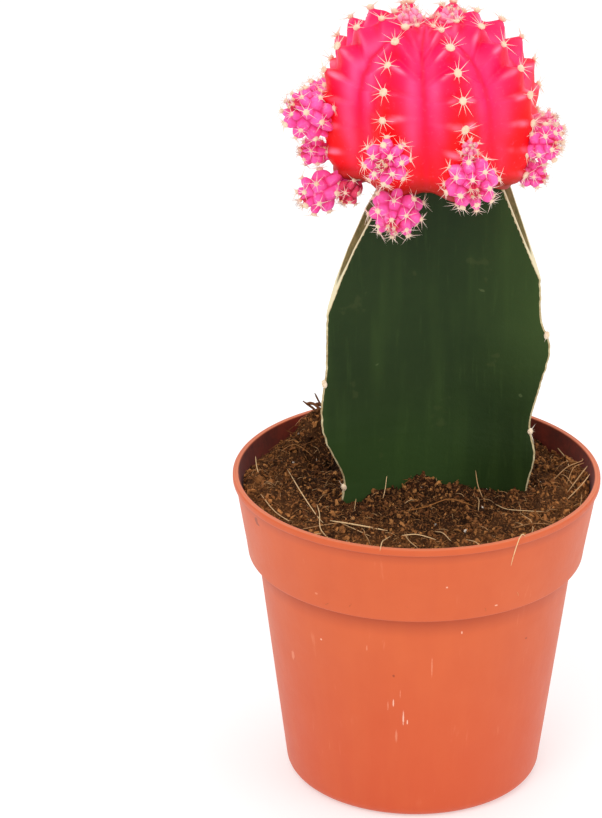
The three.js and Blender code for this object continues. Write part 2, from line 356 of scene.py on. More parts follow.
def speck_group():
    """Small round specks of dirt or mineral, as a mask, over a share of the surface."""
    inputs = {"Point": "vector", **numbers("Scale", "Cover", "Size")}
    net, way, put_out = new_group("specks", inputs, {"Mask": "number"}, "ShaderNodeTree")
    wobble = net.noise(way["Point"], way["Scale"] * 3.0, out="Color")
    spread = net.scaled(net.centred(wobble), 0.5 / way["Scale"])
    place = net.vector("ADD", way["Point"], spread)
    cell = net.add("ShaderNodeTexVoronoi", {"Vector": place, "Scale": way["Scale"]}, "Distance")
    luck, girth, _ = net.parted(cell.other("Color"))
    present = net.math("LESS_THAN", luck, way["Cover"])
    reach = way["Size"] * (0.4 + girth)
    put_out("Mask", present * net.ramp(cell, reach, reach * 0.6))
    return net.tree


def grain_group():
    """Height of a fine grain on top of a broader unevenness."""
    inputs = {"Point": "vector", **numbers("Scale", "Broad")}
    net, way, put_out = new_group("grain", inputs, {"Height": "number"}, "ShaderNodeTree")
    fine = net.noise(way["Point"], way["Scale"], 4.0, 0.65)
    broad = net.noise(way["Point"], way["Scale"] * 0.18, 2.0, 0.5)
    put_out("Height", fine + broad * way["Broad"])
    return net.tree


def scuff_group():
    """One ragged mark at a place, with a reach along each axis, as a mask."""
    inputs = {"Point": "vector", "Place": "vector", "Reach": "vector"}
    net, way, put_out = new_group("scuff", inputs, {"Mask": "number"}, "ShaderNodeTree")
    apart = net.vector("SUBTRACT", way["Point"], way["Place"])
    distance = net.vector("LENGTH", net.vector("DIVIDE", apart, way["Reach"]), out="Value")
    ragged = net.noise(way["Point"], 2600.0, 2.0, 0.6) - 0.5
    put_out("Mask", net.ramp(distance + ragged * 0.8, 1.0, 0.5))
    return net.tree


MOTTLE = mottle_group()
SPECKS = speck_group()
GRAIN = grain_group()
SCUFF = scuff_group()


# How much further in mm a mark reaches into a surface than across it.
MARK_DEPTH = 0.8


class Finish:
    """A material being written: its nodes, its shader, its object coordinates and its tone."""

    def __init__(self, name, **plain):
        self.material = bpy.data.materials.new(name)
        self.material.use_nodes = True
        self.net = Net(self.material.node_tree)
        self.shader = self.material.node_tree.nodes["Principled BSDF"]
        self.point = self.net.add("ShaderNodeTexCoord", out="Object")
        self.tone = None
        for label, value in plain.items():
            self.set(label.replace("_", " "), value)

    def set(self, label, value):
        self.net.feed(self.shader.inputs[label], value)

    def mix(self, share, first, second):
        """A mix of two colours, each given in display values or as another mix."""
        colours = [rgb(*c) if isinstance(c, tuple) else c for c in (first, second)]
        return self.net.mix(share, *colours)

    def over(self, share, colour):
        """Lays a colour over the tone so far."""
        self.tone = self.mix(share, self.tone, colour)

    def finished(self, roughness=None):
        self.set("Base Color", self.tone)
        if roughness is not None:
            self.set("Roughness", roughness)
        return self.material

    def mark(self, label):
        """A number kept on the mesh's points."""
        return self.net.add("ShaderNodeAttribute", out="Fac", attribute_name=label)

    def mottle(self, scale, contrast=1.6):
        feeds = {"Point": self.point, "Scale": scale, "Contrast": contrast}
        return self.net.use(MOTTLE, feeds)

    def specks(self, scale, cover, size=0.25):
        feeds = {"Point": self.point, "Scale": scale, "Cover": cover, "Size": size}
        return self.net.use(SPECKS, feeds)

    def drawn(self, across, upward, detail, roughness):
        """Noise drawn out upward, from 0 to 1."""
        feeds = {"Vector": self.point, "Scale": (across, across, upward)}
        place = self.net.add("ShaderNodeMapping", feeds)
        return self.net.noise(place, 1.0, detail, roughness)

    def scuffs(self, marks):
        """Marks given in mm as (x, y, z, half width, half height), as one mask."""
        total = None
        for x, y, z, wide, high in marks:
            place = (x * MM, y * MM, z * MM)
            reach = (wide * MM, (wide + MARK_DEPTH) * MM, high * MM)
            mask = self.net.use(SCUFF, {"Point": self.point, "Place": place, "Reach": reach})
            total = mask if total is None else self.net.math("MAXIMUM", total, mask)
        return total

    def grain(self, scale, depth, broad=0.0, strength=0.6, more=None):
        """Sets the normal from a grain, in metres of depth, with another height added to it."""
        height = self.net.use(GRAIN, {"Point": self.point, "Scale": scale, "Broad": broad})
        if more is not None:
            height = height + more
        feeds = {"Strength": strength, "Distance": depth, "Height": height}
        self.set("Normal", self.net.add("ShaderNodeBump", feeds))


# ---- Materials ----


# Where the pot is scratched and spotted: x, y, z, half width and half height in mm.
POT_SCRATCHES = [
    (-1.4, -21.3, 18.2, 0.15, 1.5), (-2.9, -21.6, 20.8, 0.12, 0.9), (-0.8, -21.3, 17.5, 0.12, 0.5),
    (4.7, -25.6, 42.0, 0.18, 0.18), (11.9, -22.3, 37.6, 0.3, 0.16), (-13.7, -18.3, 29.5, 0.16, 0.2),
    (7.0, -22.2, 33.0, 0.12, 0.3), (12.4, 19.0, 25.0, 0.25, 1.2), (-16.0, 14.2, 19.0, 0.4, 0.5),
]
POT_FAINT_SCRATCHES = [
    (2.7, -22.4, 27.3, 0.13, 2.2), (-2.4, -20.7, 15.0, 0.22, 1.4), (-18.0, -12.9, 24.1, 0.3, 1.0),
    (-3.7, -21.8, 20.2, 0.16, 1.3), (-1.9, -21.4, 22.6, 0.12, 1.2), (-6.9, -21.8, 30.0, 0.14, 0.6),
    (-14.4, -20.9, 38.4, 0.3, 0.25), (6.0, 21.4, 20.0, 0.2, 2.4),
]
POT_SPOTS = [
    (-2.9, -22.1, 25.6, 0.22, 0.32), (16.6, -15.6, 28.9, 0.2, 0.2), (5.2, -24.2, 35.2, 0.3, 0.2),
    (18.4, 12.6, 27.5, 0.25, 0.25),
]
# Where painted shade makes the peat darkest, and pale flecks on the stem, in the same way.
SHADED_HOLLOWS = [
    (-12.5, 9.0, 45.0, 3.6, 5.0), (-10.5, 13.0, 45.0, 3.4, 5.0), (8.6, -8.2, 46.0, 1.6, 3.0),
]
STEM_FLECKS = [
    (17.3, -2.2, 53.6, 0.22, 0.22), (-12.9, -5.0, 65.0, 0.2, 0.3), (12.8, 0.4, 60.2, 0.16, 0.2),
    (-3.0, 12.0, 66.0, 0.25, 0.3), (8.0, 9.0, 74.0, 0.2, 0.3),
]


def pot_plastic():
    """Matt terracotta-coloured polypropylene, scuffed, with dry soil stuck on and painted shade
    inside.
    """
    skin = Finish("terracotta_plastic", Specular_IOR_Level=0.35, Sheen_Weight=0.08)
    net = skin.net
    height = net.parted(skin.point)[2]
    under_step_shade = net.ramp(height, 0.0318, 0.0352) * net.ramp(height, 0.0362, 0.0359)
    patch = net.ramp(net.noise(skin.point, 130.0, 2.0), 0.5, 0.7)
    rubbed = net.ramp(skin.drawn(900.0, 45.0, 3.0, 0.6), 0.62, 0.78) * patch
    inside, lip = skin.mark("inside"), skin.mark("lip")
    inner = skin.mix(skin.mottle(300.0, 2.2), (112, 30, 15), (164, 54, 28))
    dirt = skin.mottle(420.0, 3.0) * net.ramp(inside + lip * 0.25, 0.1, 1.0)
    skin.tone = skin.mix(skin.mottle(60.0), (203, 86, 40), (214, 98, 49))
    # Painted shade: the body below the step darker and redder towards the foot.
    skin.over(net.ramp(height, 0.036, 0.004) * 0.6, (205, 75, 33))
    # Painted shade in a band under the collar's step.
    skin.over(under_step_shade * 0.18, (176, 62, 28))
    skin.over(net.ramp(skin.drawn(420.0, 26.0, 2.0, 0.6), 0.4, 0.7) * 0.18, (214, 98, 48))
    skin.over(rubbed * 0.4, (236, 150, 112))
    skin.over(skin.specks(230.0, 0.02, 0.1) * 0.5, (244, 190, 165))
    skin.over(skin.specks(170.0, 0.012, 0.09) * 0.6, (120, 48, 26))
    skin.over(skin.scuffs(POT_SCRATCHES) * 0.7, (250, 204, 180))
    skin.over(skin.scuffs(POT_FAINT_SCRATCHES) * 0.35, (244, 168, 134))
    skin.over(skin.scuffs(POT_SPOTS) * 0.7, (140, 50, 26))
    # Painted shade in the groove under the lip and in the corner under the step.
    skin.over(skin.mark("crease") * 0.35, (150, 48, 22))
    # Painted highlight, with some rubbed wear, paling the top of the lip.
    skin.over(lip * 0.6, (240, 150, 112))
    # Painted shade: the inner wall's plastic darker and redder than outside; the soil stain is laid
    # over it next.
    skin.over(inside, inner)
    skin.over(dirt * 0.5, (70, 38, 22))
    skin.grain(1500.0, 0.00006, 1.5, 0.35, more=rubbed * 0.5)
    return skin.finished(0.46 + skin.mottle(220.0) * 0.16 + inside * 0.2)


def peat_finish(name, dark, middle, light):
    """Damp peat, crumbs each its own tone; painted near-black shade in hollows, painted light and
    drier at the wall.
    """
    skin = Finish(name, Roughness=0.95, Specular_IOR_Level=0.1)
    net = skin.net
    tone = skin.mark("tone")
    grit = net.noise(skin.point, 2600.0, 2.0, 0.7)
    x, y, _ = net.parted(skin.point)
    radius = net.math("SQRT", x * x + y * y)
    lit_and_drier = net.ramp(radius + y * -0.15, 0.015, 0.027) * net.ramp(skin.mottle(260.0, 2.4), 0.1, 0.7)
    skin.tone = skin.mix(net.ramp(tone, 0.0, 0.5), dark, middle)
    skin.over(net.ramp(tone, 0.45, 1.0), light)
    skin.over(skin.mottle(900.0, 2.8) * 0.5, middle)
    skin.over(net.ramp(grit, 0.53, 0.7) * 0.5, (186, 126, 74))
    skin.over(net.ramp(grit, 0.46, 0.3) * 0.6, (22, 13, 7))
    skin.over(skin.specks(700.0, 0.015, 0.2) * 0.5, (196, 176, 146))
    # Painted light: paler towards the wall and the front, away from the plant's shade, where the
    # peat is also drier.
    skin.over(lit_and_drier * net.ramp(tone, 0.0, 0.6, 0.15, 0.6), (206, 134, 76))
    # Painted shade, near-black, in the hollows beside the stem.
    skin.over(skin.scuffs(SHADED_HOLLOWS) * 0.7, (18, 11, 6))
    skin.grain(2400.0, 0.0004, 1.0, 0.8)
    return skin.finished()


def fibre_finish():
    """Coir and dead roots, each its own shade of straw."""
    skin = Finish("coir", Roughness=0.7, Specular_IOR_Level=0.2)
    tone = skin.mark("tone")
    skin.tone = skin.mix(skin.net.ramp(tone, 0.0, 0.5), (78, 42, 20), (170, 110, 56))
    skin.over(skin.net.ramp(tone, 0.5, 1.0), (246, 208, 156))
    skin.over(skin.mottle(1400.0, 2.4) * 0.35, (140, 88, 44))
    skin.grain(5000.0, 0.0001, 0.5, 0.5)
    return skin.finished()


def perlite_finish():
    skin = Finish("perlite", Roughness=0.85)
    skin.tone = skin.mix(skin.mottle(1500.0, 2.0), (240, 232, 220), (196, 176, 152))
    skin.grain(6000.0, 0.0002, 0.6, 0.8)
    return skin.finished()


def green_skin():
    """Dark waxy green, drawn out upward, with a corky margin and dry cut faces on its wings."""
    skin = Finish("waxy_green", Specular_IOR_Level=0.16)
    net = skin.net
    x, _, height = net.parted(skin.point)
    lit_upper_right = net.ramp(x, 0.006, 0.018) * net.ramp(height, 0.058, 0.074)
    low = net.ramp(height, 0.066, 0.047) * net.ramp(x, 0.016, 0.0)
    torn = net.noise(skin.point, 900.0, 3.0, 0.6) - 0.5
    cork = net.ramp(skin.mark("cork") + torn * 0.5, 0.4, 0.62)
    corky = skin.mix(skin.mottle(700.0, 2.6), (218, 204, 162), (150, 124, 82))
    rim = net.ramp(skin.mark("rim") + torn * 0.2, 0.4, 0.7)
    dry = skin.mix(skin.mottle(520.0, 2.6), (136, 116, 74), (74, 72, 38))
    dry = skin.mix(rim, dry, (230, 218, 182))
    skin.tone = skin.mix(skin.mottle(75.0, 1.8), (26, 43, 14), (38, 55, 20))
    skin.over(net.ramp(skin.drawn(300.0, 36.0, 2.0, 0.5), 0.46, 0.76) * 0.45, (52, 72, 28))
    # Painted light: the stem lighter on its right side, from partway up.
    skin.over(lit_upper_right * 0.4, (64, 86, 36))
    skin.over(low * 0.6, (58, 84, 40))
    skin.over(net.ramp(skin.drawn(1400.0, 130.0, 3.0, 0.6), 0.55, 0.8) * 0.2, (66, 88, 40))
    skin.over(skin.specks(330.0, 0.05, 0.1) * 0.3, (104, 118, 76))
    skin.over(net.ramp(skin.mottle(150.0, 3.2), 0.86, 1.0) * 0.13, (86, 90, 50))
    skin.over(skin.scuffs(STEM_FLECKS) * 0.85, (214, 214, 190))
    skin.over(cork, corky)
    skin.over(net.ramp(skin.mark("cut"), 0.4, 0.6), dry)
    skin.grain(1100.0, 0.00012, 1.2, 0.5, more=cork * 0.8)
    return skin.finished(0.5 + cork * 0.35 + skin.mottle(260.0) * 0.08)


def red_skin():
    """No green in the skin: magenta at the crown, pure red low down, painted highlight on the
    flanks.
    """
    skin = Finish("scion_red", Specular_IOR_Level=0.22, Subsurface_Weight=0.1,
                  Subsurface_Radius=(0.0022, 0.0005, 0.0007), Subsurface_Scale=1.0)
    net = skin.net
    crest, down = skin.mark("crest"), skin.mark("down")
    low = skin.mix(skin.mottle(150.0), (248, 2, 8), (252, 8, 20))
    reddening = net.ramp(down + crest * 0.2 - 0.12, 0.27, 0.56)
    flank_highlight = net.bell(crest - 0.34, 0.2) * net.ramp(down, 0.74, 0.44, 0.05, 0.8)
    patchy = net.ramp(net.noise(skin.point, 85.0, 2.0), 0.38, 0.6, 0.3, 1.0)
    ragged = net.ramp(net.noise(skin.point, 210.0, 2.0), 0.4, 0.62, 0.1, 1.0)
    flecks = net.ramp(net.noise(skin.point, 1500.0, 3.0, 0.6), 0.58, 0.74)
    skin.tone = skin.mix(skin.mottle(120.0), (244, 12, 84), (252, 24, 106))
    skin.over(reddening, low)
    # Painted highlight paling the flanks between crest and furrow.
    skin.over(flank_highlight * patchy * 0.8, (255, 96, 158))
    # Painted shade, deeper red, along the furrows.
    skin.over(net.ramp(crest, 0.16, 0.0) * 0.55, (250, 10, 52))
    # Painted shade on each tubercle's chin under its areole.
    skin.over(skin.mark("chin") * 0.6, (236, 6, 34))
    # Painted highlight on each tubercle's ledge beside its areole.
    skin.over(skin.mark("ledge") * ragged * 0.6, (255, 160, 196))
    skin.over(net.ramp(down, 0.62, 0.73) * 0.8, (120, 42, 18))
    skin.over(flecks * 0.14, (255, 110, 150))
    skin.grain(1700.0, 0.00008, 2.0, 0.45)
    return skin.finished(0.46 + skin.mottle(400.0) * 0.14)


def pink_skin(name, body, pale, deep, crown):
    """The offsets' skin: pink swellings, painted shade in the creases, redder at the woolly crown.
    """
    skin = Finish(name, Specular_IOR_Level=0.3, Subsurface_Weight=0.12,
                  Subsurface_Radius=(0.0016, 0.0006, 0.001), Subsurface_Scale=1.0)
    net = skin.net
    swell = skin.mark("swell")
    light_and_shade_streaks = net.noise(skin.point, 900.0, 3.0, 0.65, 0.6)
    skin.tone = skin.mix(skin.mottle(260.0, 2.0), body, pale)
    # Painted shade in the creases between the swellings, and a painted highlight on their tips.
    skin.over(net.ramp(swell, 0.4, 0.0) * 0.8, deep)
    skin.over(net.ramp(swell, 0.6, 1.0) * 0.35, pale)
    skin.over(net.ramp(skin.mark("down"), 0.16, 0.05) * 0.8, crown)
    # Painted highlights and painted shade, in streaks over the skin.
    skin.over(net.ramp(light_and_shade_streaks, 0.56, 0.7) * 0.4, (255, 196, 226))
    skin.over(net.ramp(light_and_shade_streaks, 0.44, 0.32) * 0.4, deep)
    skin.grain(2400.0, 0.00006, 1.5, 0.45)
    return skin.finished(0.44 + skin.mottle(500.0) * 0.12)


def wool_finish(name, young):
    """Felt on the areoles, whiter where it is young and browner where it is old."""
    skin = Finish(name, Roughness=0.95, Specular_IOR_Level=0.2)
    skin.tone = skin.mix(skin.mottle(1800.0, 2.4), (255, 238, 212), (248, 214, 176))
    skin.over(skin.net.ramp(skin.mark("youth"), 0.2, 1.0) * 0.8, young)
    skin.grain(7000.0, 0.0002, 0.4, 0.9)
    return skin.finished()


def spine_finish():
    """Horn-coloured spines, pinker at the foot, brown at the tip while they are young."""
    skin = Finish("spines", Roughness=0.45, Specular_IOR_Level=0.4)
    net = skin.net
    along = skin.mark("along")
    brown = net.ramp(along, 0.5, 0.8) * net.ramp(skin.mark("youth"), 0.25, 0.75)
    skin.tone = skin.mix(skin.mottle(900.0), (255, 244, 226), (255, 228, 208))
    skin.over(net.ramp(along, 0.0, 0.35, 0.4, 0.0), (250, 176, 160))
    skin.over(brown * 0.9, (122, 44, 50))
    skin.grain(9000.0, 0.00003, 0.5, 0.4)
    return skin.finished()


# ---- Pot ----

POT_SEGMENTS = 224
# Where the drills for the drain holes start and end, how far each is turned in radians, and
# the holes as x, y and radius.
DRILLED_HEIGHTS = (0.5, 4.0)
DRILL_TURN = 0.031
DRAIN_HOLES = [(0.0, 0.0, 2.5)] + [
    (12 * math.cos(k * TURN / 6), 12 * math.sin(k * TURN / 6), 2.0) for k in range(6)
]
# The pot's inner wall, as (height, radius) from its floor to its lip.
POT_BORE = [(2.6, 18.25), (36.3, 22.75), (37.2, 24.3), (49.0, 26.4)]
# The moulding's outline in mm, part by part, each as radii and heights. A round corner is its
# centre, radius, first and last angle and points; a wall is its two ends and its pieces.
POT_OUTSIDE = [
    (0.0, 1.6), (16.75, 1.6),  # the raised floor, from below
    (16.95, 0.2, 0.2, 180, 270, 4), (17.15, 2.15, 2.15, 270, 352, 10),  # the foot
    (19.31, 2.1, 23.64, 35.35, 12),  # the body
    (23.95, 35.55, 0.35, 180, 90, 5), (24.75, 36.35, 0.45, 270, 352, 6),  # the step
    (25.2, 36.55, 27.05, 47.3, 8),  # the collar
    (27.2, 47.45, 0.15, 180, 90, 3), (27.2, 47.9, 0.3, 270, 360, 4),  # the groove
    (27.15, 48.35, 0.35, 0, 90, 6), (27.1, 48.66), (27.0, 48.68),  # the lip
]
POT_INSIDE = [
    (26.84, 48.42, 0.28, 90, 180, 5), (26.56, 48.42, 24.3, 37.3, 6), (24.3, 37.3),
    (24.1, 36.9), (22.9, 36.5), (22.75, 36.1), (22.75, 36.1, 18.45, 3.4, 6), (18.45, 3.4),
    (18.1, 2.85), (17.7, 2.6), (0.0, 2.6),
]
# The height where the lip's pale top, a painted highlight with some rubbed wear, starts, and over
# how much it comes in. The groove under the lip and the corner under the step, where shade is
# painted, each as low, high and the radius that it is within.
LIP_EDGE, LIP_EDGE_RISE = 48.6, 0.12
GROOVE = (47.35, 47.65, 27.4)
UNDER_STEP = (35.3, 36.0, 24.7)


def rounded(x, z, radius, start, end, count):
    """Points of a round corner, from one angle in degrees to another."""
    angles = np.radians(np.linspace(start, end, count))
    return [(x + radius * math.cos(a), z + radius * math.sin(a)) for a in angles]


def straight(x, z, end_x, end_z, pieces):
    """Points between the two ends of a wall."""
    shares = [k / pieces for k in range(1, pieces)]
    return [(x + (end_x - x) * share, z + (end_z - z) * share) for share in shares]


def outlined(parts):
    """An outline's points as (radius, height), from its parts."""
    makers = {2: lambda *spot: [spot], 5: straight, 6: rounded}
    return [point for part in parts for point in makers[len(part)](*part)]


def turned(name, outline, sides, marks):
    """A closed body turned about the Z axis from an outline that starts and ends on it."""
    rim = np.array(outline[1:-1]) * MM
    angles = np.arange(sides) * TURN / sides
    rings = [
        np.column_stack([r * np.cos(angles), r * np.sin(angles), np.full(sides, z)])
        for r, z in rim
    ]
    ends = [(0, 0, outline[0][1] * MM), (0, 0, outline[-1][1] * MM)]
    points = np.vstack([ends[:1], *rings, ends[1:]])
    spread = {
        label: np.concatenate([values[:1], np.repeat(values[1:-1], sides), values[-1:]])
        for label, values in marks.items()
    }
    return mesh_of(name, points, skin_faces(len(rim), sides), marks=spread)


def cylinder(name, x, y, radius, low, high, sides=48):
    """An upright cylinder, turned a little so that its corners clear the pot's."""
    outline = [(0, low), (radius, low), (radius, high), (0, high)]
    mesh = turned(name, outline, sides, {})
    mesh.transform(Matrix.Translation((x * MM, y * MM, 0)) @ Matrix.Rotation(DRILL_TURN, 4, "Z"))
    return mesh


def drilled(piece, holes):
    """Cuts the drain holes, each as (x, y, radius)."""
    drills = [new_piece("drill", cylinder("drill", *hole, *DRILLED_HEIGHTS)) for hole in holes]
    for drill in drills:
        modifier = piece.modifiers.new("drain hole", "BOOLEAN")
        modifier.operation = "DIFFERENCE"
        modifier.object = drill
    made_plain(piece)
    for drill in drills:
        bpy.data.objects.remove(drill)
    return piece


def make_pot():
    """The moulding, turned and drilled, with masks for its inside, its lip and the shade painted in
    its creases.
    """
    outside, inside = outlined(POT_OUTSIDE), outlined(POT_INSIDE)
    outline = outside + inside
    is_inside = np.array([0.0] * (len(outside) + 2) + [0.4] + [1.0] * (len(inside) - 3))

    def within(low, high, reach):
        return np.array([float(low < z < high and radius < reach) for radius, z in outline])

    marks = {
        "inside": is_inside,
        "lip": np.clip((np.array([z for _, z in outline]) - LIP_EDGE) / LIP_EDGE_RISE, 0, 1),
        "crease": (within(*GROOVE) + within(*UNDER_STEP)) * (1 - is_inside),
    }
    mesh = turned("pot", outline, POT_SEGMENTS, marks)
    pot = drilled(new_piece("nursery_pot", mesh, [pot_plastic()]), DRAIN_HOLES)
    pot.data.shade_smooth()
    pot.data.set_sharp_from_angle(angle=math.radians(50))
    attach(pot, "root")
    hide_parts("pot")


# ---- Peat and what lies on it ----

# The peat's general level, its radius at the top, its floor, its gap from the wall and the
# (radius, height) where its side ends, in mm. Only what lies above SOIL_TOP is its top.
SOIL_LEVEL = 46.2
SOIL_RADIUS = 26.0
SOIL_FLOOR = 2.65
SOIL_GAP = 0.12
SOIL_SHOULDER = (25.3, 43.6)
SOIL_TOP = 43.0
# Each heap or hollow: x, y, rise (negative for a hollow), spread.
SOIL_HEAPS = [
    (2, 0, 1.0, 9), (-15, 18, 4.2, 3.4), (-13, 10, -2.4, 4), (19, 12, -0.9, 5), (-4, -17, 0.6, 5),
    (0.3, -1.2, 1.6, 2.6), (8.5, -9.5, 0.9, 1.8), (7.5, -7.4, -0.9, 2.0), (-15, 9, -1.0, 3),
    (24, 2, 1.7, 5), (-24, -1, 1.2, 6), (16, -3, 0.5, 3), (-9, -7, -0.7, 2.4), (12, -12, 0.5, 3),
]


def soil_height(x, y):
    """Height of the peat at a place, in mm, without its crumbs."""
    height = SOIL_LEVEL
    for heap_x, heap_y, rise, spread in SOIL_HEAPS:
        height += rise * math.exp(-((x - heap_x) ** 2 + (y - heap_y) ** 2) / spread**2)
    return height


def crumbled(x, y):
    """Lumps of two sizes, in mm of height."""
    place = Vector((x, y, 3.1))
    lumps = noise.fractal(place * 0.45, 0.8, 2.2, 3) * 0.8
    grains = noise.noise(place * 1.9) * 0.42 + noise.noise(place * 4.1) * 0.2
    return lumps + grains


def make_soil(finish):
    """The peat as one closed body that fills the pot, its top a net of rings."""
    sides, rings = 340, 118
    bore = [(r - SOIL_GAP, z) for z, r in POT_BORE if z < SOIL_TOP]
    radii = SOIL_RADIUS * (1 - (1 - np.linspace(1, 0, rings, endpoint=False)) ** 1.1)
    angles = np.arange(sides) * TURN / sides
    points = [(0, 0, SOIL_FLOOR)]
    for radius, height in [(bore[0][0], SOIL_FLOOR), *bore[1:], SOIL_SHOULDER]:
        points += [(radius * math.cos(a), radius * math.sin(a), height) for a in angles]
    for radius in radii:
        edge = min(1.0, (SOIL_RADIUS - radius) / 1.5)
        for a in angles:
            x, y = radius * math.cos(a), radius * math.sin(a)
            height = soil_height(x, y) + crumbled(x, y) - 0.7 * (1 - edge) ** 2
            room = float(np.interp(height, *zip(*POT_BORE)))
            fit = min(1.0, (room - 0.1) / max(radius, 0.01))
            points.append((x * fit, y * fit, height))
    points.append((0, 0, soil_height(0, 0) + crumbled(0, 0)))
    rows = (len(points) - 2) // sides
    mesh = mesh_of("peat", np.array(points) * MM, skin_faces(rows, sides))
    soil = new_piece("peat_bed", mesh, [finish])
    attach(soil, "root")
    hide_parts("potting_soil")
    return soil


def distance_from_axis(net, x, y):
    return net.vector("LENGTH", net.joined(x, y, 0.0), out="Value")


def kept_in_pot(net, geometry, reach):
    """Moves points that lie past reach from the pot's axis back to it."""
    x, y, z = net.parted(net.position())
    radius = distance_from_axis(net, x, y)
    fit = net.math("MINIMUM", reach / net.math("MAXIMUM", radius, 0.001), 1.0)
    return net.moved(geometry, Position=net.joined(x * fit, y * fit, z))


def scattered_points(net, way):
    """Points at random over the top of a mesh, clear of its walls."""
    x, y, z = net.parted(net.position())
    on_top = net.math("GREATER_THAN", z, way["Lowest"])
    inside = net.math("LESS_THAN", distance_from_axis(net, x, y), way["Reach"])
    return net.shape(
        "DistributePointsOnFaces", "Points", Mesh=way["Surface"], Selection=on_top * inside,
        Density=way["Density"], Seed=way["Seed"],
    )


def scattered_sizes(net, way, leaning):
    """A size for each point, small far more often than large."""
    share = net.random(0.0, 1.0, way["Seed"] + 1) ** leaning
    return way["Smallest"] + (way["Largest"] - way["Smallest"]) * share


SCATTER_INPUTS = {
    "Surface": "geometry", **numbers("Density", "Lowest", "Reach", "Smallest", "Largest"),
    "Seed": "count", "Material": "material",
}


def crumb_tree():
    """Angular lumps at random over a surface, half sunk in it."""
    net, way, put_out = new_group("crumbs", SCATTER_INPUTS, {"Crumbs": "geometry"})
    seed, largest = way["Seed"], way["Largest"]
    lump = net.shape("MeshIcoSphere", Radius=0.5, Subdivisions=1)
    squash = net.random((0.5, 0.4, 0.25), (1.9, 0.9, 0.7), seed + 2)
    turn = net.random((0.0, 0.0, 0.0), (TURN, TURN, TURN), seed + 3)
    scale = net.scaled(squash, scattered_sizes(net, way, 2.2))
    tone = net.random(0.0, 1.0, seed + 5) ** 1.3
    crumbs = net.placed(scattered_points(net, way), lump, turn, scale, tone=tone)
    bumps = net.centred(net.noise(net.position(), 1.5 / largest, 2.0, out="Color"))
    crumbs = net.moved(crumbs, Offset=net.scaled(bumps, largest * 0.9))
    put_out("Crumbs", net.painted(kept_in_pot(net, crumbs, way["Reach"]), way["Material"]))
    return net.tree


def fibre_tree():
    """Thin kinked fibres lying at random over a surface."""
    inputs = {**SCATTER_INPUTS, **numbers("Thickness", "Rise", "Kink", "Palest")}
    net, way, put_out = new_group("fibres", inputs, {"Fibres": "geometry"})
    seed = way["Seed"]
    line = net.shape("CurvePrimitiveLine", Start=(-0.5, 0, 0), End=(0.5, 0, 0))
    line = net.shape("ResampleCurve", Curve=line, Count=9)
    line = net.stored(line, along=net.shape("SplineParameter", "Factor"))
    length = scattered_sizes(net, way, 1.6)
    turn = net.random((-0.5, -0.5, 0.0), (0.5, 0.5, TURN), seed + 2)
    tone = net.random(0.0, 1.0, seed + 4) ** 1.5 * way["Palest"]
    whim = net.random(0.0, 40.0, seed + 5)
    points = scattered_points(net, way)
    fibres = net.placed(points, line, turn, length, tone=tone, length=length, whim=whim)
    feeds = {"Vector": net.position(), "W": net.named("whim"), "Scale": 420.0, "Detail": 1.5}
    drift = net.add("ShaderNodeTexNoise", feeds, "Color", noise_dimensions="4D")
    kink = net.scaled(net.centred(drift), way["Kink"])
    reach, along = net.named("length"), net.named("along")
    lift = (along * (1.0 - along) * 4.0 - 0.45) * way["Rise"] * net.named("tone")
    shift = net.vector("ADD", net.scaled(kink, reach), net.joined(0.0, 0.0, lift * reach))
    fibres = kept_in_pot(net, net.moved(fibres, Offset=shift), way["Reach"])
    ring = net.shape("CurvePrimitiveCircle", Resolution=3, Radius=1.0)
    thin = net.ramp(net.math("ABSOLUTE", along * 2.0 - 1.0), 1.0, 0.4, 0.35, 1.0)
    girth = way["Thickness"] * thin * net.random(0.7, 1.3, seed + 6)
    feeds = {"Curve": fibres, "Profile_Curve": ring, "Scale": girth, "Fill_Caps": True}
    fibres = net.smoothed(net.shape("CurveToMesh", **feeds))
    put_out("Fibres", net.painted(fibres, way["Material"]))
    return net.tree


def scatter(name, tree, soil, finish, slot, density, reach, smallest, largest, seed, **more):
    """A piece of many small things lying on the peat. Sizes are in mm."""
    inputs = {
        "Material": finish, "Lowest": SOIL_TOP * MM, "Density": density, "Reach": reach * MM,
        "Smallest": smallest * MM, "Largest": largest * MM, "Seed": SEED + seed, **more,
    }
    piece = grown(name, tree, inputs, soil.data.copy())
    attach(piece, "root")


# A direction that no straw runs along.
NEARLY_UP = [0.123, 0.05, 0.99]


def unit(vectors):
    return vectors / np.linalg.norm(vectors, axis=1)[:, None]


def swept(path, radius, sides=6, count=24, tip=0.4):
    """Points and faces of a round tube along a smooth path, thinner at its ends."""
    line = smooth_line(path, count)
    ahead = unit(np.gradient(line, axis=0))
    side = unit(np.cross(ahead, NEARLY_UP))
    over = np.cross(side, ahead)
    angles = np.arange(sides) * TURN / sides
    points = [line[0]]
    for k in range(count):
        swell = tip + (1 - tip) * min(1.0, 6 * k / count, 6 * (count - 1 - k) / count)
        ring = np.outer(np.cos(angles), over[k]) + np.outer(np.sin(angles), side[k])
        points += list(line[k] + radius * swell * ring)
    points.append(line[-1])
    return points, skin_faces(count, sides)


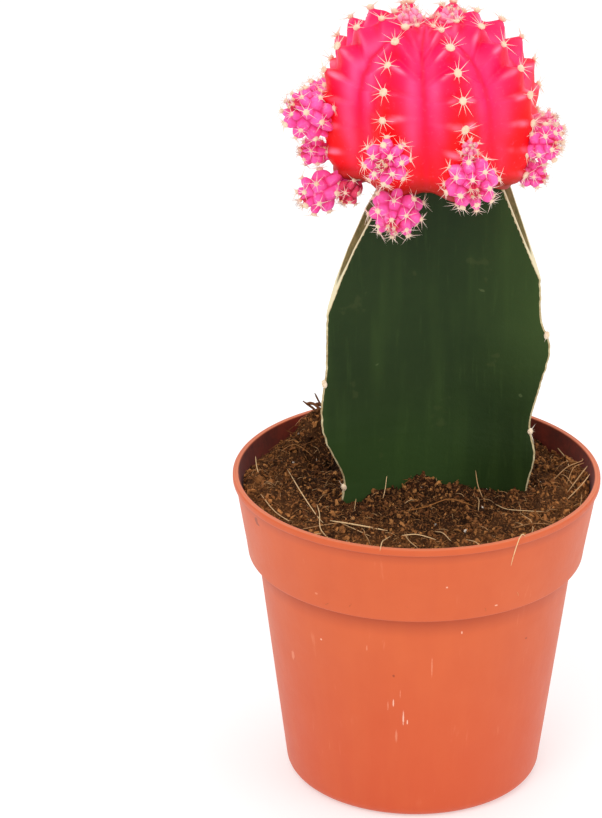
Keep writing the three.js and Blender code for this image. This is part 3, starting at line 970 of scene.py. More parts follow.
# Straws and roots: girth, shade from dark 0 to pale 1, then the path as x, y and height
# above the peat.
STRAWS = [
    (0.16, 0.95, [(-19.4, 3.0, 0.6), (-16.9, -5.5, 0.7), (-14.7, -11.7, 0.5), (-13.6, -14, 0.3)]),
    (0.15, 0.9, [(-14.7, -7.5, 0.2), (-14.2, -12, 0.8), (-13.9, -17, 0.7), (-12.2, -21.0, 0.6)]),
    (0.12, 0.85, [(-16.4, -18.4, 0.3), (-14.2, -18.4, 0.6), (-13.7, -17.8, 0.5)]),
    (0.16, 0.85, [(-23.1, -5.9, 0.4), (-20.8, -11.3, 0.7), (-18.1, -14.3, 0.3)]),
    (0.24, 1.0, [(-12.6, -13.9, 0.6), (-8.5, -16.2, 0.8), (-4.1, -18.2, 0.6)]),
    (0.11, 0.7, [(-17.0, -16.5, 0.3), (-14, -15.6, 0.6), (-10.6, -14.2, 0.5)]),
    (0.13, 0.8, [(-11.5, -13.8, 0.4), (-9, -16.8, 0.5), (-6.5, -19.2, 0.3)]),
    (0.17, 0.95, [(-2.0, -19.0, 0.4), (0.3, -18.7, 0.6), (3.0, -19.3, 0.3)]),
    (0.13, 0.8, [(-1.6, -18.6, 0.5), (-0.9, -20.6, 0.5), (0.4, -22.3, 0.3)]),
    (0.18, 0.85, [(21.1, 18.2, -0.6), (21.6, 14.5, 0.4), (22.6, 10.5, 0.6), (22.9, 4.2, 0.4)]),
    (0.14, 0.7, [(25.0, 9.0, 0.8), (24.9, 6.0, 1.0), (22.6, 3.0, 0.6), (20.5, 0.4, 0.2)]),
    (0.13, 0.6, [(24.6, 8.4, 0.3), (22.4, 6.2, 0.9), (20.9, 3.4, 0.3)]),
    (0.13, 0.65, [(25.2, 4.8, 0.9), (23.5, 1.5, 1.0), (22.4, -1.6, 0.3)]),
    (0.14, 0.75, [(25.6, 2.2, 1.2), (24.4, -0.6, 1.1), (22.5, -3.4, 0.4)]),
    (0.12, 0.7, [(21.6, 1.5, 0.3), (22.4, -0.6, 1.0), (23.6, -2.4, 0.5)]),
    (0.12, 0.9, [(11.7, -7.2, 0.4), (13.4, -9.2, 0.5), (16.0, -9.3, 0.5), (19.0, -8.8, 0.2)]),
    (0.16, 0.45, [(-2.6, -10.4, 0.3), (1.2, -9.9, 0.8), (4.6, -8.2, 1.4), (7.2, -7.8, 1.3),
                  (8.5, -9.2, 0.3)]),
    (0.12, 0.8, [(9.0, -6.5, 1.4), (9.3, -9.0, 1.2), (9.2, -10.6, 0.2)]),
    (0.13, 0.75, [(8.8, -1.8, 3.0), (9.2, -3.6, 1.4), (9.9, -4.8, 0.2)]),
    (0.12, 0.9, [(-4.3, -2.0, 3.0), (-4.6, -4.4, 1.2), (-4.9, -5.6, 0.2)]),
    (0.12, 0.8, [(-8.9, -6.3, 1.2), (-9.1, -8.8, 0.4)]),
    (0.14, 0.9, [(-24.2, 2.8, 2.4), (-24.0, 1.6, 1.2), (-23.6, 0.2, 0.2)]),
    (0.13, 0.65, [(14.2, -15.3, 0.5), (17.2, -14.4, 0.9), (20.4, -13.6, 0.4)]),
    (0.12, 0.85, [(16.8, -13.6, 0.4), (17.2, -15.6, 0.8), (16.9, -17.0, 0.3)]),
    (0.12, 0.6, [(18.3, -12.0, 0.6), (20.6, -14.0, 0.6), (21.6, -15.0, 0.2)]),
    (0.11, 0.9, [(7.4, -18.9, 0.3), (8.8, -20.4, 0.6), (9.6, -21.8, 0.4)]),
    (0.12, 0.9, [(2.8, -16.6, 0.3), (4.0, -17.6, 0.6), (5.2, -19.6, 0.3)]),
    (0.12, 0.7, [(24.0, -10.2, 0.3), (24.4, -7.2, 0.8), (24.6, -5.0, 1.2)]),
    (0.12, 0.7, [(12.3, 17.9, 0.3), (14.6, 16.4, 0.9), (17.0, 17.0, 0.4)]),
    (0.12, 0.6, [(-21.0, 10.6, 0.3), (-18.6, 12.8, 0.8), (-15.8, 12.2, 0.3)]),
    (0.12, 0.7, [(-8.0, 21.6, 0.3), (-4.6, 20.6, 0.8), (-1.4, 22.2, 0.3)]),
    (0.13, 0.8, [(3.0, 18.6, 0.2), (6.4, 20.2, 0.9), (9.6, 19.4, 0.3)]),
]
# Straws that stand clear of the peat: girth, shade and the path as x, y, z.
LOOSE_STRAWS = [
    (0.14, 0.95, [(-3.6, -19.0, 46.9), (-4.3, -22.5, 48.1), (-4.8, -25.8, 49.2),
                  (-5.1, -27.7, 48.7)]),
    (0.14, 0.95, [(16.3, -20.6, 46.9), (15.7, -22.4, 49.1), (15.1, -23.6, 49.2),
                  (14.3, -24.9, 47.2), (13.9, -24.7, 45.2)]),
    (0.15, 0.8, [(25.9, -0.6, 48.9), (24.6, -3.0, 48.2), (22.2, -5.4, 46.6)]),
    (0.42, 0.12, [(-13.8, 17.6, 48.2), (-15.6, 18.9, 49.9), (-17.6, 20.2, 50.9)]),
    (0.3, 0.1, [(-13.4, 18.2, 48.6), (-15.0, 19.6, 50.9), (-15.8, 20.4, 52.2)]),
    (0.34, 0.2, [(-11.6, 18.0, 48.6), (-12.4, 19.4, 50.0), (-12.5, 20.6, 50.8)]),
    (0.18, 0.3, [(-15.8, 16.4, 48.2), (-14.0, 18.2, 50.3), (-12.2, 19.0, 50.2)]),
    (0.62, 0.08, [(-13.0, 18.0, 49.7), (-14.4, 18.8, 50.7), (-15.6, 19.4, 50.9)]),
    (0.5, 0.14, [(-14.4, 17.8, 50.1), (-15.8, 18.8, 51.0), (-17.0, 19.6, 50.8)]),
    (0.4, 0.2, [(-12.6, 17.6, 49.6), (-13.4, 17.9, 51.0), (-13.6, 18.6, 51.6)]),
]


def make_straws(finish):
    """The larger straws and bark chips, each along its own path, as one piece."""
    points, faces, tones = [], [], []
    rows = [
        (girth, tone, [(x, y, soil_height(x, y) + up) for x, y, up in path])
        for girth, tone, path in STRAWS
    ]
    for girth, tone, path in rows + LOOSE_STRAWS:
        tube, skin = swept(path, girth / 2)
        first = len(points)
        points += tube
        faces += [tuple(corner + first for corner in face) for face in skin]
        tones += [tone] * len(tube)
    mesh = mesh_of("straws", np.array(points) * MM, faces, marks={"tone": tones})
    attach(new_piece("straws", mesh, [finish]), "root")


def make_peat_bed():
    peat = peat_finish("damp_peat", (30, 17, 9), (90, 53, 30), (158, 102, 58))
    crumb = peat_finish("peat_crumbs", (44, 24, 13), (120, 72, 40), (206, 142, 82))
    bark = peat_finish("bark", (40, 24, 13), (92, 56, 30), (134, 84, 44))
    coir = fibre_finish()
    soil = make_soil(peat)
    crumbs = crumb_tree()
    fibres = fibre_tree()
    fuzz = {"Thickness": 0.04 * MM, "Rise": 0.25, "Kink": 0.3, "Palest": 0.78}
    strands = {"Thickness": 0.055 * MM, "Rise": 0.25, "Kink": 0.4, "Palest": 0.9}
    scatter("peat_crumbs", crumbs, soil, crumb, "peat", 2.3e6, 25.9, 0.24, 1.05, 0)
    scatter("bark_bits", crumbs, soil, bark, "peat", 6.0e4, 25.4, 0.7, 1.9, 20)
    scatter("perlite", crumbs, soil, perlite_finish(), None, 1.0e4, 25.2, 0.25, 0.8, 40)
    scatter("coir_fuzz", fibres, soil, coir, None, 8.0e5, 25.8, 0.7, 3.2, 60, **fuzz)
    scatter("coir_strands", fibres, soil, coir, None, 4.0e4, 25.6, 2.5, 7.0, 80, **strands)
    make_straws(coir)


# ---- Rootstock ----

# The stem's axis, its buried end, the graft's flat cut and the core's radius, in mm.
STEM_X, STEM_Y = 2.5, 3.7
STEM_BURIED_END = 20.0
GRAFT_HEIGHT = 95.0
STEM_CORE = 5.3
WING_ANGLES = [math.radians(angle) for angle in (215, 335, 95)]
# Each wing's reach from the stem's axis at a height, before the graft was cut.
WING_EDGES = [
    [(20, 12), (38, 15), (46, 16.5), (50, 16.3), (57, 19.6), (62, 20.3), (68.5, 19.5),
     (77.6, 19.4), (86, 18.6), (95, 17.6)],
    [(20, 11), (38, 14), (47.8, 15.5), (53, 16.6), (58, 15.7), (64.8, 17.3), (70.7, 18.6),
     (75, 17.1), (81, 16.8), (88, 16.6), (95, 16.2)],
    [(20, 11), (38, 14.5), (47, 16), (54, 17.2), (60, 16.4), (66, 17.4), (73, 16.6), (80, 16.4),
     (88, 16.4), (95, 16.2)],
]
# The slanting cut that trimmed each wing under the graft: reach at a height.
WING_CUTS = [
    [(70, 21.6), (77.6, 19.2), (82, 17.5), (86.5, 15.2), (92, 11.8), (95, 9)],
    [(74, 20.4), (81, 16.9), (88, 13.9), (95, 10.9)],
    [(73, 20.0), (80, 16.5), (87, 14.2), (95, 9.8)],
]
# Past the reach of any wing, so that nothing is cut there.
UNCUT = 99.0
# How far in mm the margins and the flanks waver, the cork reaches in from a margin, and the
# pale rim of a cut face reaches on the face and on the skin beside it.
EDGE_WAVE, FLANK_WAVE = 0.16, 0.18
CORK_DEPTH = 0.26
RIM_REACH = (2.0, 0.25)


def stem_section(edge, cut, side):
    """A section's points over one wing: the distance out along the wing, across it, and past
    the cut.

    side runs from -1, in the valley before the wing, through 0 at its edge, to 1.
    """
    inward = np.abs(side) ** 1.9
    valley, half = STEM_CORE * 0.5, STEM_CORE * math.sqrt(0.75)
    out = edge + (valley - edge) * inward
    thick = 0.3 * inward**0.4 + 0.7 * inward**2.7
    across = np.sign(side) * half * thick
    return np.minimum(out, cut), across, out - cut


def make_rootstock():
    """The stem, lofted up its height section by section, with masks for its cork and its cuts."""
    rows, per_wing = 220, 66
    heights = np.linspace(STEM_BURIED_END, GRAFT_HEIGHT, rows)
    side = (np.arange(per_wing) - per_wing // 2) / (per_wing / 2)
    marks = {"cork": [0.0], "cut": [0.0], "rim": [0.0]}
    points = [(STEM_X, STEM_Y, STEM_BURIED_END)]
    edges = [smooth_value(outline, heights) for outline in WING_EDGES]
    cuts = [np.interp(heights, *zip(*outline)) for outline in WING_CUTS]
    for row, height in enumerate(heights):
        for wing, angle in enumerate(WING_ANGLES):
            edge, cut = edges[wing][row], cuts[wing][row]
            if height < WING_CUTS[wing][0][0]:
                cut = UNCUT
            edge += EDGE_WAVE * noise.noise(Vector((height * 0.9, wing * 9.0, 0)))
            out, across, beyond = stem_section(edge, cut, side)
            swell = [FLANK_WAVE * noise.noise(Vector((o * 0.12, a + wing * 7, height * 0.07)))
                     for o, a in zip(out, side)]
            across = across + np.array(swell) * np.clip(np.abs(side) * 4, 0, 1)
            cosine, sine = math.cos(angle), math.sin(angle)
            spots = np.outer(out, [cosine, sine]) + np.outer(across, [-sine, cosine])
            points += [(x, y, height) for x, y in spots + [STEM_X, STEM_Y]]
            depth = np.minimum(edge, cut) - out
            flat = beyond > 0
            marks["cut"] += list(np.clip(0.5 + beyond, 0, 1))
            marks["cork"] += list(np.where(flat, 1.0, np.clip(1.1 - depth / CORK_DEPTH, 0, 1)))
            marks["rim"] += list(np.exp(-(beyond / np.where(flat, *RIM_REACH)) ** 2))
    points.append((STEM_X, STEM_Y, GRAFT_HEIGHT))
    for values in marks.values():
        values.append(0.0)
    mesh = mesh_of("rootstock", np.array(points) * MM, skin_faces(rows, per_wing * 3), marks=marks)
    mesh.set_sharp_from_angle(angle=math.radians(48))
    stem = new_piece("three_winged_stem", mesh, [green_skin()])
    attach(stem, "root")
    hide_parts("rootstock")


# Areoles on the wings' margins: wing and height. Each is sunk a little into its margin.
AREOLE_SINK = 0.05
MARGIN_AREOLES = [(0, 66.0), (0, 48.4), (1, 72.7), (1, 56.8), (2, 66.5), (2, 52.0)]


def margin_tree():
    """An areole on each point of a mesh, facing away from an axis."""
    inputs = {"Points": "geometry", "Axis": "vector", **KIT_INPUTS}
    net, way, put_out = new_group("margins", inputs, {"Areoles": "geometry"})
    x, y, _ = net.parted(net.vector("SUBTRACT", net.position(), way["Axis"]))
    outward = net.vector("NORMALIZE", net.joined(x, y, 0.0))
    points = net.shape("MeshToPoints", Mesh=way["Points"])
    points = net.stored(points, "FLOAT_VECTOR", outward=outward, downward=(0.0, 0.0, -1.0))
    points = net.stored(points, youth=0.0, share=0.45)
    put_out("Areoles", net.use(AREOLE_KIT, {"Points": points, **chosen(way, KIT_INPUTS)}))
    return net.tree


def make_margin_areoles(wool, horn):
    points = []
    for wing, height in MARGIN_AREOLES:
        reach = float(smooth_value(WING_EDGES[wing], height)) - AREOLE_SINK
        if height > WING_CUTS[wing][0][0]:
            reach = min(reach, float(np.interp(height, *zip(*WING_CUTS[wing]))))
        angle = WING_ANGLES[wing]
        x, y = STEM_X + reach * math.cos(angle), STEM_Y + reach * math.sin(angle)
        points.append((x * MM, y * MM, height * MM))
    inputs = {
        "Axis": (STEM_X * MM, STEM_Y * MM, 0.0), "Pad": 0.54 * MM, "Spines": 3,
        "Spine Length": 2.2 * MM, "Spine Girth": 0.07 * MM, "Hairs": 8, "Seed": SEED + 5,
        "Comb": 0.0, "Wool": wool, "Horn": horn,
    }
    mesh = mesh_of("margins", points, [])
    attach(grown("margin_areoles", margin_tree(), inputs, mesh), "root")


# ---- Ribbed heads: the scion and its offsets ----

# What shapes a head: Size scales the outline, Neck stretches it below its widest part, Rows is
# the number of areoles on a rib and Crowding packs them towards the crown. Furrow, Step and
# Swell are the depths of the furrows, of the stepped tubercles and of the rounded ones. Sway
# spaces the ribs unevenly, Drift moves the crown sideways and Slope tips the upper part.
SHAPE_INPUTS = {
    **numbers("Ribs", "Rows", "Size", "Neck", "Furrow", "Step", "Swell", "Chevron", "Crowding"),
    **numbers("Unevenness", "Widest", "Whim", "Sway"), "Drift": "vector", "Slope": "vector",
}
# Points of a skin nearer than this, in metres, are made one.
SEAM_GAP = 0.0000015
# Where a head goes: turned about its own axis, then its crown pointed, then moved.
PLACE_INPUTS = {"Turn": "number", "Crown": "vector", "Place": "vector"}


def shares_along(outline):
    """Each point's share of the way along an outline, by length."""
    steps = np.hypot(*np.diff(np.array(outline), axis=0).T)
    return np.concatenate([[0], np.cumsum(steps)]) / steps.sum()


def outline_reader(net, neck, outline):
    """Reads an outline's radius and height at a share of its length, and its heights' span."""
    shares = shares_along(outline)
    columns = [list(zip(shares, values)) for values in zip(*outline)]
    spans = [(min(values), max(values)) for values in zip(*outline)]

    def read(share):
        radius = net.graph(share, columns[0], *spans[0])
        height = net.graph(share, columns[1], *spans[1])
        below = net.math("MINIMUM", height, 0.0) * neck
        return radius, net.math("MAXIMUM", height, 0.0) + below

    return read, spans[1]


# How far along, in shares, the outline is read before and after a point for its slope there.
SLOPE_REACH = 0.012
# The share of a stepped tubercle above its areole: the least and most, and on an undercut.
FACE_LEAST, FACE_MOST, UNDERCUT_FACE = 0.12, 0.86, 0.85
STAIR_ROUNDING = 0.2
DOME_POWER = 2.2
# Where along a tubercle lie the painted highlight on its ledge and the painted shade on its chin.
LEDGE_HIGHLIGHT_PLACE, CHIN_SHADE_PLACE = 0.96, 0.22


def stepped_depth(net, way, part, beside, out_slope, down_slope):
    """How deep a tubercle's stair is: nothing at its areole, most where it turns under."""
    upper = net.math("GREATER_THAN", out_slope, 0.0)
    face = net.held(down_slope * down_slope, FACE_LEAST, FACE_MOST)
    face = face * upper + UNDERCUT_FACE * (1.0 - upper)
    stair = net.math("SMOOTH_MIN", part / face, (1.0 - part) / (1.0 - face), STAIR_ROUNDING)
    lean = net.math("MAXIMUM", out_slope * down_slope * 2.0, 0.0)
    depth = way["Step"] * (0.24 + 0.76 * lean) * stair * (1.0 - 0.97 * beside**1.4)
    return depth * net.ramp(way["Share"], 0.03, 0.13)


def domed(net, steps, beside):
    """1 at the middle of a rounded tubercle, 0 at its edges."""
    along = net.math("ABSOLUTE", net.math("FRACT", steps + 0.5) * 2.0 - 1.0)
    return (1.0 - beside**DOME_POWER) * (1.0 - along**DOME_POWER)


def furrow_depth(net, way, beside, width):
    hollow = net.math("SINE", beside * (math.pi / 2)) ** 1.8
    fade = net.ramp(width, 0.0, 0.5)
    return way["Furrow"] * hollow * fade * net.ramp(way["Share"], 0.55, 0.76, 1.0, 0.55)


def unevenness(net, way):
    """Slow swellings and hollows that differ from head to head."""
    angle = way["Angle"]
    around = net.joined(net.math("COSINE", angle), net.math("SINE", angle), way["Share"] * 3.0)
    around = net.vector("ADD", around, net.joined(way["Whim"], 0.0, 0.0))
    return (net.noise(around, 2.4, 3.0, 0.55) - 0.5) * way["Unevenness"]


def tipped(net, way, point, climb):
    """Moves the crown sideways and tips the upper part of a head."""
    point = net.vector("ADD", point, net.scaled(way["Drift"], climb * climb * way["Size"]))
    rise = net.vector("DOT_PRODUCT", point, way["Slope"], out="Value")
    return net.vector("ADD", point, net.joined(0.0, 0.0, rise * net.ramp(climb, 0.25, 0.62)))


def head_surface(name, outline, staggers):
    """A group that gives the point of a ribbed head at an angle round it and a share of the way
    down from its crown, with masks for its colours, its painted highlights and its painted shade.

    outline is the rib crests' outline as (radius, height), and staggers shift each rib's
    areoles along it.
    """
    inputs = {**numbers("Angle", "Share"), **SHAPE_INPUTS}
    outputs = dict.fromkeys(["Point", "Outward", "Down"], "vector")
    outputs.update(numbers("Crest", "Ledge", "Chin", "Dome"))
    net, way, put_out = new_group(name, inputs, outputs)
    read, (low, high) = outline_reader(net, way["Neck"], outline)
    share = way["Share"]
    radius, height = read(share)
    radius_before, height_before = read(share - SLOPE_REACH)
    radius_after, height_after = read(share + SLOPE_REACH)
    out_step = radius_after - radius_before
    down_step = height_before - height_after
    length = net.math("SQRT", out_step * out_step + down_step * down_step)
    out_slope, down_slope = out_step / length, down_step / length

    turns = way["Angle"] * way["Ribs"] / TURN
    nearest = net.math("ROUND", turns)
    beside = net.math("ABSOLUTE", turns - nearest) * 2.0
    stagger = net.one_of(staggers, net.math("FLOORED_MODULO", nearest, way["Ribs"]))
    droop = way["Chevron"] * net.ramp(share, 0.58, 0.2, -0.2, 1.0) * beside**1.5
    droop = droop * net.ramp(share, 0.06, 0.24)
    steps = (share ** way["Crowding"]) * way["Rows"] - stagger - droop
    part = net.math("FRACT", steps)

    width = radius / way["Widest"]
    skirt = net.ramp(share, 0.985, 0.95)
    pole = net.ramp(width, 0.0, 0.12)
    dome = domed(net, steps, beside)
    inset = stepped_depth(net, way, part, beside, out_slope, down_slope)
    inset = inset + way["Swell"] * (1.0 - dome) + furrow_depth(net, way, beside, width)
    inset = (inset + unevenness(net, way)) * skirt * pole
    new_radius = net.math("MAXIMUM", radius - down_slope * inset, 0.0) * way["Size"]
    new_height = (height - out_slope * inset) * way["Size"]
    swayed = way["Angle"] + way["Sway"] * net.math("COSINE", way["Angle"] * 2.0 + 0.38)
    cosine, sine = net.math("COSINE", swayed), net.math("SINE", swayed)

    def spun(out, up):
        return net.joined(out * cosine, out * sine, up)

    def near(where):
        """Distance from that part of a tubercle, in tubercles."""
        return net.math("FRACT", part - where + 0.5) - 0.5

    climb = net.math("MAXIMUM", (height - low) / (high - low), 0.0)
    across = beside * radius * math.pi / way["Ribs"] / way["Widest"]
    # Masks for the painted highlight on each ledge and the painted shade on each chin.
    ledge = net.bell(near(LEDGE_HIGHLIGHT_PLACE), 0.1) * net.bell(across - 0.1, 0.08)
    put_out("Point", tipped(net, way, spun(new_radius, new_height), climb))
    put_out("Outward", spun(down_slope, out_slope))
    put_out("Down", spun(out_slope, down_slope * -1.0))
    put_out("Crest", 1.0 - beside)
    put_out("Ledge", ledge * net.ramp(beside, 0.7, 0.35) * skirt)
    put_out("Chin", net.bell(near(CHIN_SHADE_PLACE), 0.17) * net.bell(across, 0.07) * skirt)
    put_out("Dome", dome)
    return net.tree


def put_in_place(net, way, geometry):
    spin = net.joined(0.0, 0.0, way["Turn"])
    geometry = net.shape("Transform", Geometry=geometry, Rotation=spin)
    facing = net.add("FunctionNodeAlignRotationToVector", {"Vector": way["Crown"]}, axis="Z")
    return net.shape("Transform", Geometry=geometry, Translation=way["Place"], Rotation=facing)


def chosen(way, labels):
    """Some of a group's inputs, to pass on to a group inside it."""
    return {label: way[label] for label in labels}


def skin_tree(name, surface):
    """The skin of a ribbed head, closed at its crown and under it."""
    more = {"Columns": "count", "Rings": "count", "Material": "material"}
    inputs = {**SHAPE_INPUTS, **PLACE_INPUTS, **more}
    net, way, put_out = new_group(name, inputs, {"Skin": "geometry"})
    grid = net.shape(
        "MeshGrid", Size_X=1.0, Size_Y=1.0, Vertices_X=way["Columns"] + 1,
        Vertices_Y=way["Rings"] + 1,
    )
    x, y, _ = net.parted(net.position())
    skin = net.stored(grid, angle=(x + 0.5) * TURN, down=0.5 - y)
    feeds = {"Angle": net.named("angle"), "Share": net.named("down")}
    point = net.use(surface, {**chosen(way, SHAPE_INPUTS), **feeds})
    masks = {"crest": "Crest", "ledge": "Ledge", "chin": "Chin", "swell": "Dome"}
    skin = net.stored(skin, **{label: point.other(mask) for label, mask in masks.items()})
    skin = net.moved(skin, Position=point)
    skin = net.shape("MergeByDistance", Geometry=skin, Distance=SEAM_GAP)
    skin = put_in_place(net, way, net.smoothed(skin))
    put_out("Skin", net.painted(skin, way["Material"]))
    return net.tree


def lump_group():
    """A ball of felt about 2 across, flattened and uneven."""
    net, _, put_out = new_group("felt lump", {}, {"Lump": "geometry"})
    ball = net.shape("MeshIcoSphere", Radius=1.0, Subdivisions=2)
    place = net.position()
    swell = 0.8 + net.noise(place, 1.7, 2.0) * 0.5
    flat = net.vector("MULTIPLY", net.scaled(place, swell), (1.0, 1.0, 0.7))
    put_out("Lump", net.moved(ball, Position=flat))
    return net.tree


def bristle_group():
    """A tapering bristle of unit radius and unit length, bowed by Bend radii at its tip."""
    inputs = {"Sides": "count", "Segments": "count", "Bend": "number"}
    net, way, put_out = new_group("bristle", inputs, {"Bristle": "geometry"})
    cone = net.shape(
        "MeshCone", "Mesh", {"fill_type": "NGON"}, Vertices=way["Sides"],
        Side_Segments=way["Segments"], Radius_Top=0.0, Radius_Bottom=1.0, Depth=1.0,
    )
    x, y, z = net.parted(net.position())
    rise = net.named("along")
    plump = net.ramp(rise, 0.0, 1.0, 1.0, 1.25)
    bowed = net.joined(x * plump + way["Bend"] * rise * rise, y * plump, z)
    put_out("Bristle", net.moved(net.stored(cone, along=z), Position=bowed))
    return net.tree


LUMP = lump_group()
BRISTLE = bristle_group()
KIT_INPUTS = {
    "Pad": "number", "Spines": "count", "Spine Length": "number", "Spine Girth": "number",
    "Hairs": "count", "Comb": "number", "Seed": "count", "Wool": "material", "Horn": "material",
}


def areole_kit():
    """Felt, hairs and spines on points that carry outward, downward, youth and share.

    Comb lays the spines toward the crown high on a head and away from it low down.
    """
    inputs = {"Points": "geometry", **KIT_INPUTS}
    net, way, put_out = new_group("areole kit", inputs, {"Areoles": "geometry"})
    outward = net.named("outward", "FLOAT_VECTOR")
    downward = net.named("downward", "FLOAT_VECTOR")
    youth = net.named("youth")
    sideways = net.vector("CROSS_PRODUCT", outward, downward)
    seed = way["Seed"]

    def facing(direction, pole):
        aim = {"Vector": direction}
        rotation = net.add("FunctionNodeAlignRotationToVector", aim, axis="Z")
        aim = {"Rotation": rotation, "Vector": pole}
        return net.add("FunctionNodeAlignRotationToVector", aim, axis="X", pivot_axis="Z")

    def between(first, second, angle):
        """The direction at an angle from the first toward the second."""
        near = net.scaled(first, net.math("COSINE", angle))
        return net.vector("ADD", near, net.scaled(second, net.math("SINE", angle)))

    def leaning(bearing, lean):
        """The direction at that lean from outward, on that bearing from downward."""
        return between(outward, between(downward, sideways, bearing), lean)

    def bristles(number, aim, girth, long, sides, segments, bend):
        part = net.use(BRISTLE, {"Sides": sides, "Segments": segments, "Bend": bend})
        return net.placed(number, part, facing(aim, outward), net.joined(girth, girth, long))

    def copied(amount):
        feeds = {"Geometry": way["Points"], "Amount": amount}
        return net.shape("DuplicateElements", None, {"domain": "POINT"}, **feeds)

    size = way["Pad"] * net.random(0.8, 1.15, seed) * (1.0 - youth * 0.45)
    grainy = net.random((0.85, 0.85, 0.8), (1.2, 1.1, 1.2), seed + 1)
    spin = net.random((0, 0, 0), (0, 0, TURN), seed + 2)
    feeds = {0: facing(outward, downward), 1: spin}
    turned_pad = net.add("FunctionNodeRotateRotation", feeds, rotation_space="LOCAL")
    pads = net.placed(way["Points"], net.use(LUMP, {}), turned_pad, net.scaled(grainy, size))
    pads = net.smoothed(net.stored(pads, along=0.0))

    spines = copied(way["Spines"])
    jitter = net.random(-0.28, 0.28, seed + 3)
    bearing = (spines.other("Duplicate Index") + jitter) * TURN / way["Spines"]
    lean = net.random(0.95, 1.42, seed + 4) - youth * 0.75
    long = way["Spine Length"] * net.random(0.55, 1.12, seed + 5) * (1.0 - youth * 0.4)
    girth = way["Spine Girth"] * net.random(0.85, 1.2, seed + 6)
    combed = net.ramp(net.named("share"), 0.2, 0.5, -1.0, 1.0) * way["Comb"]
    aim = net.vector("ADD", leaning(bearing, lean), net.scaled(downward, combed))
    spines = bristles(spines, aim, girth, long, 4, 4, -1.6)

    bearing = net.random(0.0, TURN, seed + 7)
    lean = net.random(0.2, 1.5, seed + 8)
    long = way["Pad"] * net.random(1.1, 1.9, seed + 9)
    fine = way["Spine Girth"] * 0.5
    hairs = bristles(copied(way["Hairs"]), leaning(bearing, lean), fine, long, 3, 2, 3.0)
    felt = net.painted(net.add("GeometryNodeJoinGeometry", {0: [pads, hairs]}), way["Wool"])
    horn = net.painted(net.smoothed(spines), way["Horn"])
    put_out("Areoles", net.add("GeometryNodeJoinGeometry", {0: [felt, horn]}))
    return net.tree


AREOLE_KIT = areole_kit()


def areole_tree(name, surface, staggers):
    """The areoles of a ribbed head, in rows along its ribs."""
    more = numbers("First", "Last", "Young", "Lift")
    inputs = {**SHAPE_INPUTS, **PLACE_INPUTS, **KIT_INPUTS, **more}
    net, way, put_out = new_group(name, inputs, {"Areoles": "geometry"})
    points = net.shape("Points", Count=way["Ribs"] * way["Rows"])
    index = net.shape("InputIndex")
    rib = net.math("FLOORED_MODULO", index, way["Ribs"])
    row = net.math("FLOOR", index / way["Ribs"])
    share = ((row + net.one_of(staggers, rib)) / way["Rows"]) ** (1.0 / way["Crowding"])
    points = net.stored(points, share=share, angle=rib * TURN / way["Ribs"])
    share = net.named("share")
    feeds = {"Angle": net.named("angle"), "Share": share}
    point = net.use(surface, {**chosen(way, SHAPE_INPUTS), **feeds})
    outward = point.other("Outward")
    points = net.stored(points, "FLOAT_VECTOR", outward=outward, downward=point.other("Down"))
    points = net.stored(points, youth=net.ramp(share, way["Young"], 0.0))
    lifted = net.vector("ADD", point, net.scaled(outward, way["Pad"] * way["Lift"]))
    points = net.moved(points, Position=lifted)
    early = net.math("LESS_THAN", share, way["First"])
    late = net.math("GREATER_THAN", share, way["Last"])
    feeds = {"Geometry": points, "Selection": early + late}
    points = net.shape("DeleteGeometry", None, {"domain": "POINT"}, **feeds)
    areoles = net.use(AREOLE_KIT, {"Points": points, **chosen(way, KIT_INPUTS)})
    put_out("Areoles", put_in_place(net, way, areoles))
    return net.tree


def make_head(name, trees, shape, place, skin, areoles):
    """A head's skin and its areoles, as two pieces."""
    body = grown(f"{name}_skin", trees[0], {**shape, **place, **skin})
    spines = grown(f"{name}_spines", trees[1], {**shape, **place, **areoles})
    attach(body, "root")
    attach(spines, "root")
    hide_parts(name)
    return body


# Rib crests of the scion in mm from its axis, from its crown dimple down to the graft and in.
SCION_OUTLINE = [
    (0, 117.8), (3.5, 118.6), (7.5, 119.3), (11.1, 118.0), (14.3, 115.0), (16.2, 111.3),
    (16.8, 106.8), (16.6, 103), (16.2, 99.8), (15.4, 97.4), (13.9, 95.6), (11.5, 94.8),
    (9.4, 94.9), (0, 95.0),
]
SCION_ROWS = 12.5
SCION_STAGGERS = [0.77, 0.0, 0.33, 0.02, 0.55, 0.85, 0.3, 0.67]
# The head has grown a little to the back left of where it was seated.
SCION_SHIFT = Vector((-0.15, 0.3, 0.0)) * MM
FIRST_RIB = math.radians(243.6)


def spun_back(x, y):
    """A direction given in the pot's frame, in the scion's own before it is turned."""
    return tuple(Matrix.Rotation(-FIRST_RIB, 3, "Z") @ Vector((x, y, 0.0)))


def make_scion(wool, horn):
    """The red head, fitted over its place on the stem."""
    surface = head_surface("scion surface", SCION_OUTLINE, SCION_STAGGERS)
    trees = skin_tree("scion skin", surface), areole_tree("scion areoles", surface, SCION_STAGGERS)
    low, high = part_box("scion")
    axis = (low + high) / 2 + SCION_SHIFT
    shape = {
        "Ribs": 8.0, "Rows": SCION_ROWS, "Size": MM, "Neck": 1.0, "Furrow": 2.8, "Step": 2.5,
        "Swell": 0.0, "Chevron": 0.75, "Crowding": 1.0, "Unevenness": 0.5, "Widest": 16.8,
        "Whim": 0.0, "Sway": 0.056, "Drift": spun_back(-1.2, 0.0), "Slope": spun_back(0.0, -0.048),
    }
    place = {"Turn": FIRST_RIB, "Crown": (0.0, 0.0, 1.0), "Place": (axis.x, axis.y, 0.0)}
    skin = {"Columns": 288, "Rings": 236, "Material": red_skin()}
    areoles = {
        "Pad": 0.55 * MM, "Spines": 9, "Spine Length": 2.7 * MM, "Spine Girth": 0.058 * MM,
        "Hairs": 14, "Seed": SEED, "Comb": 0.35, "Wool": wool, "Horn": horn, "First": 0.03,
        "Last": 0.68, "Young": 0.14, "Lift": 0.1,
    }
    make_head("scion", trees, shape, place, skin, areoles)


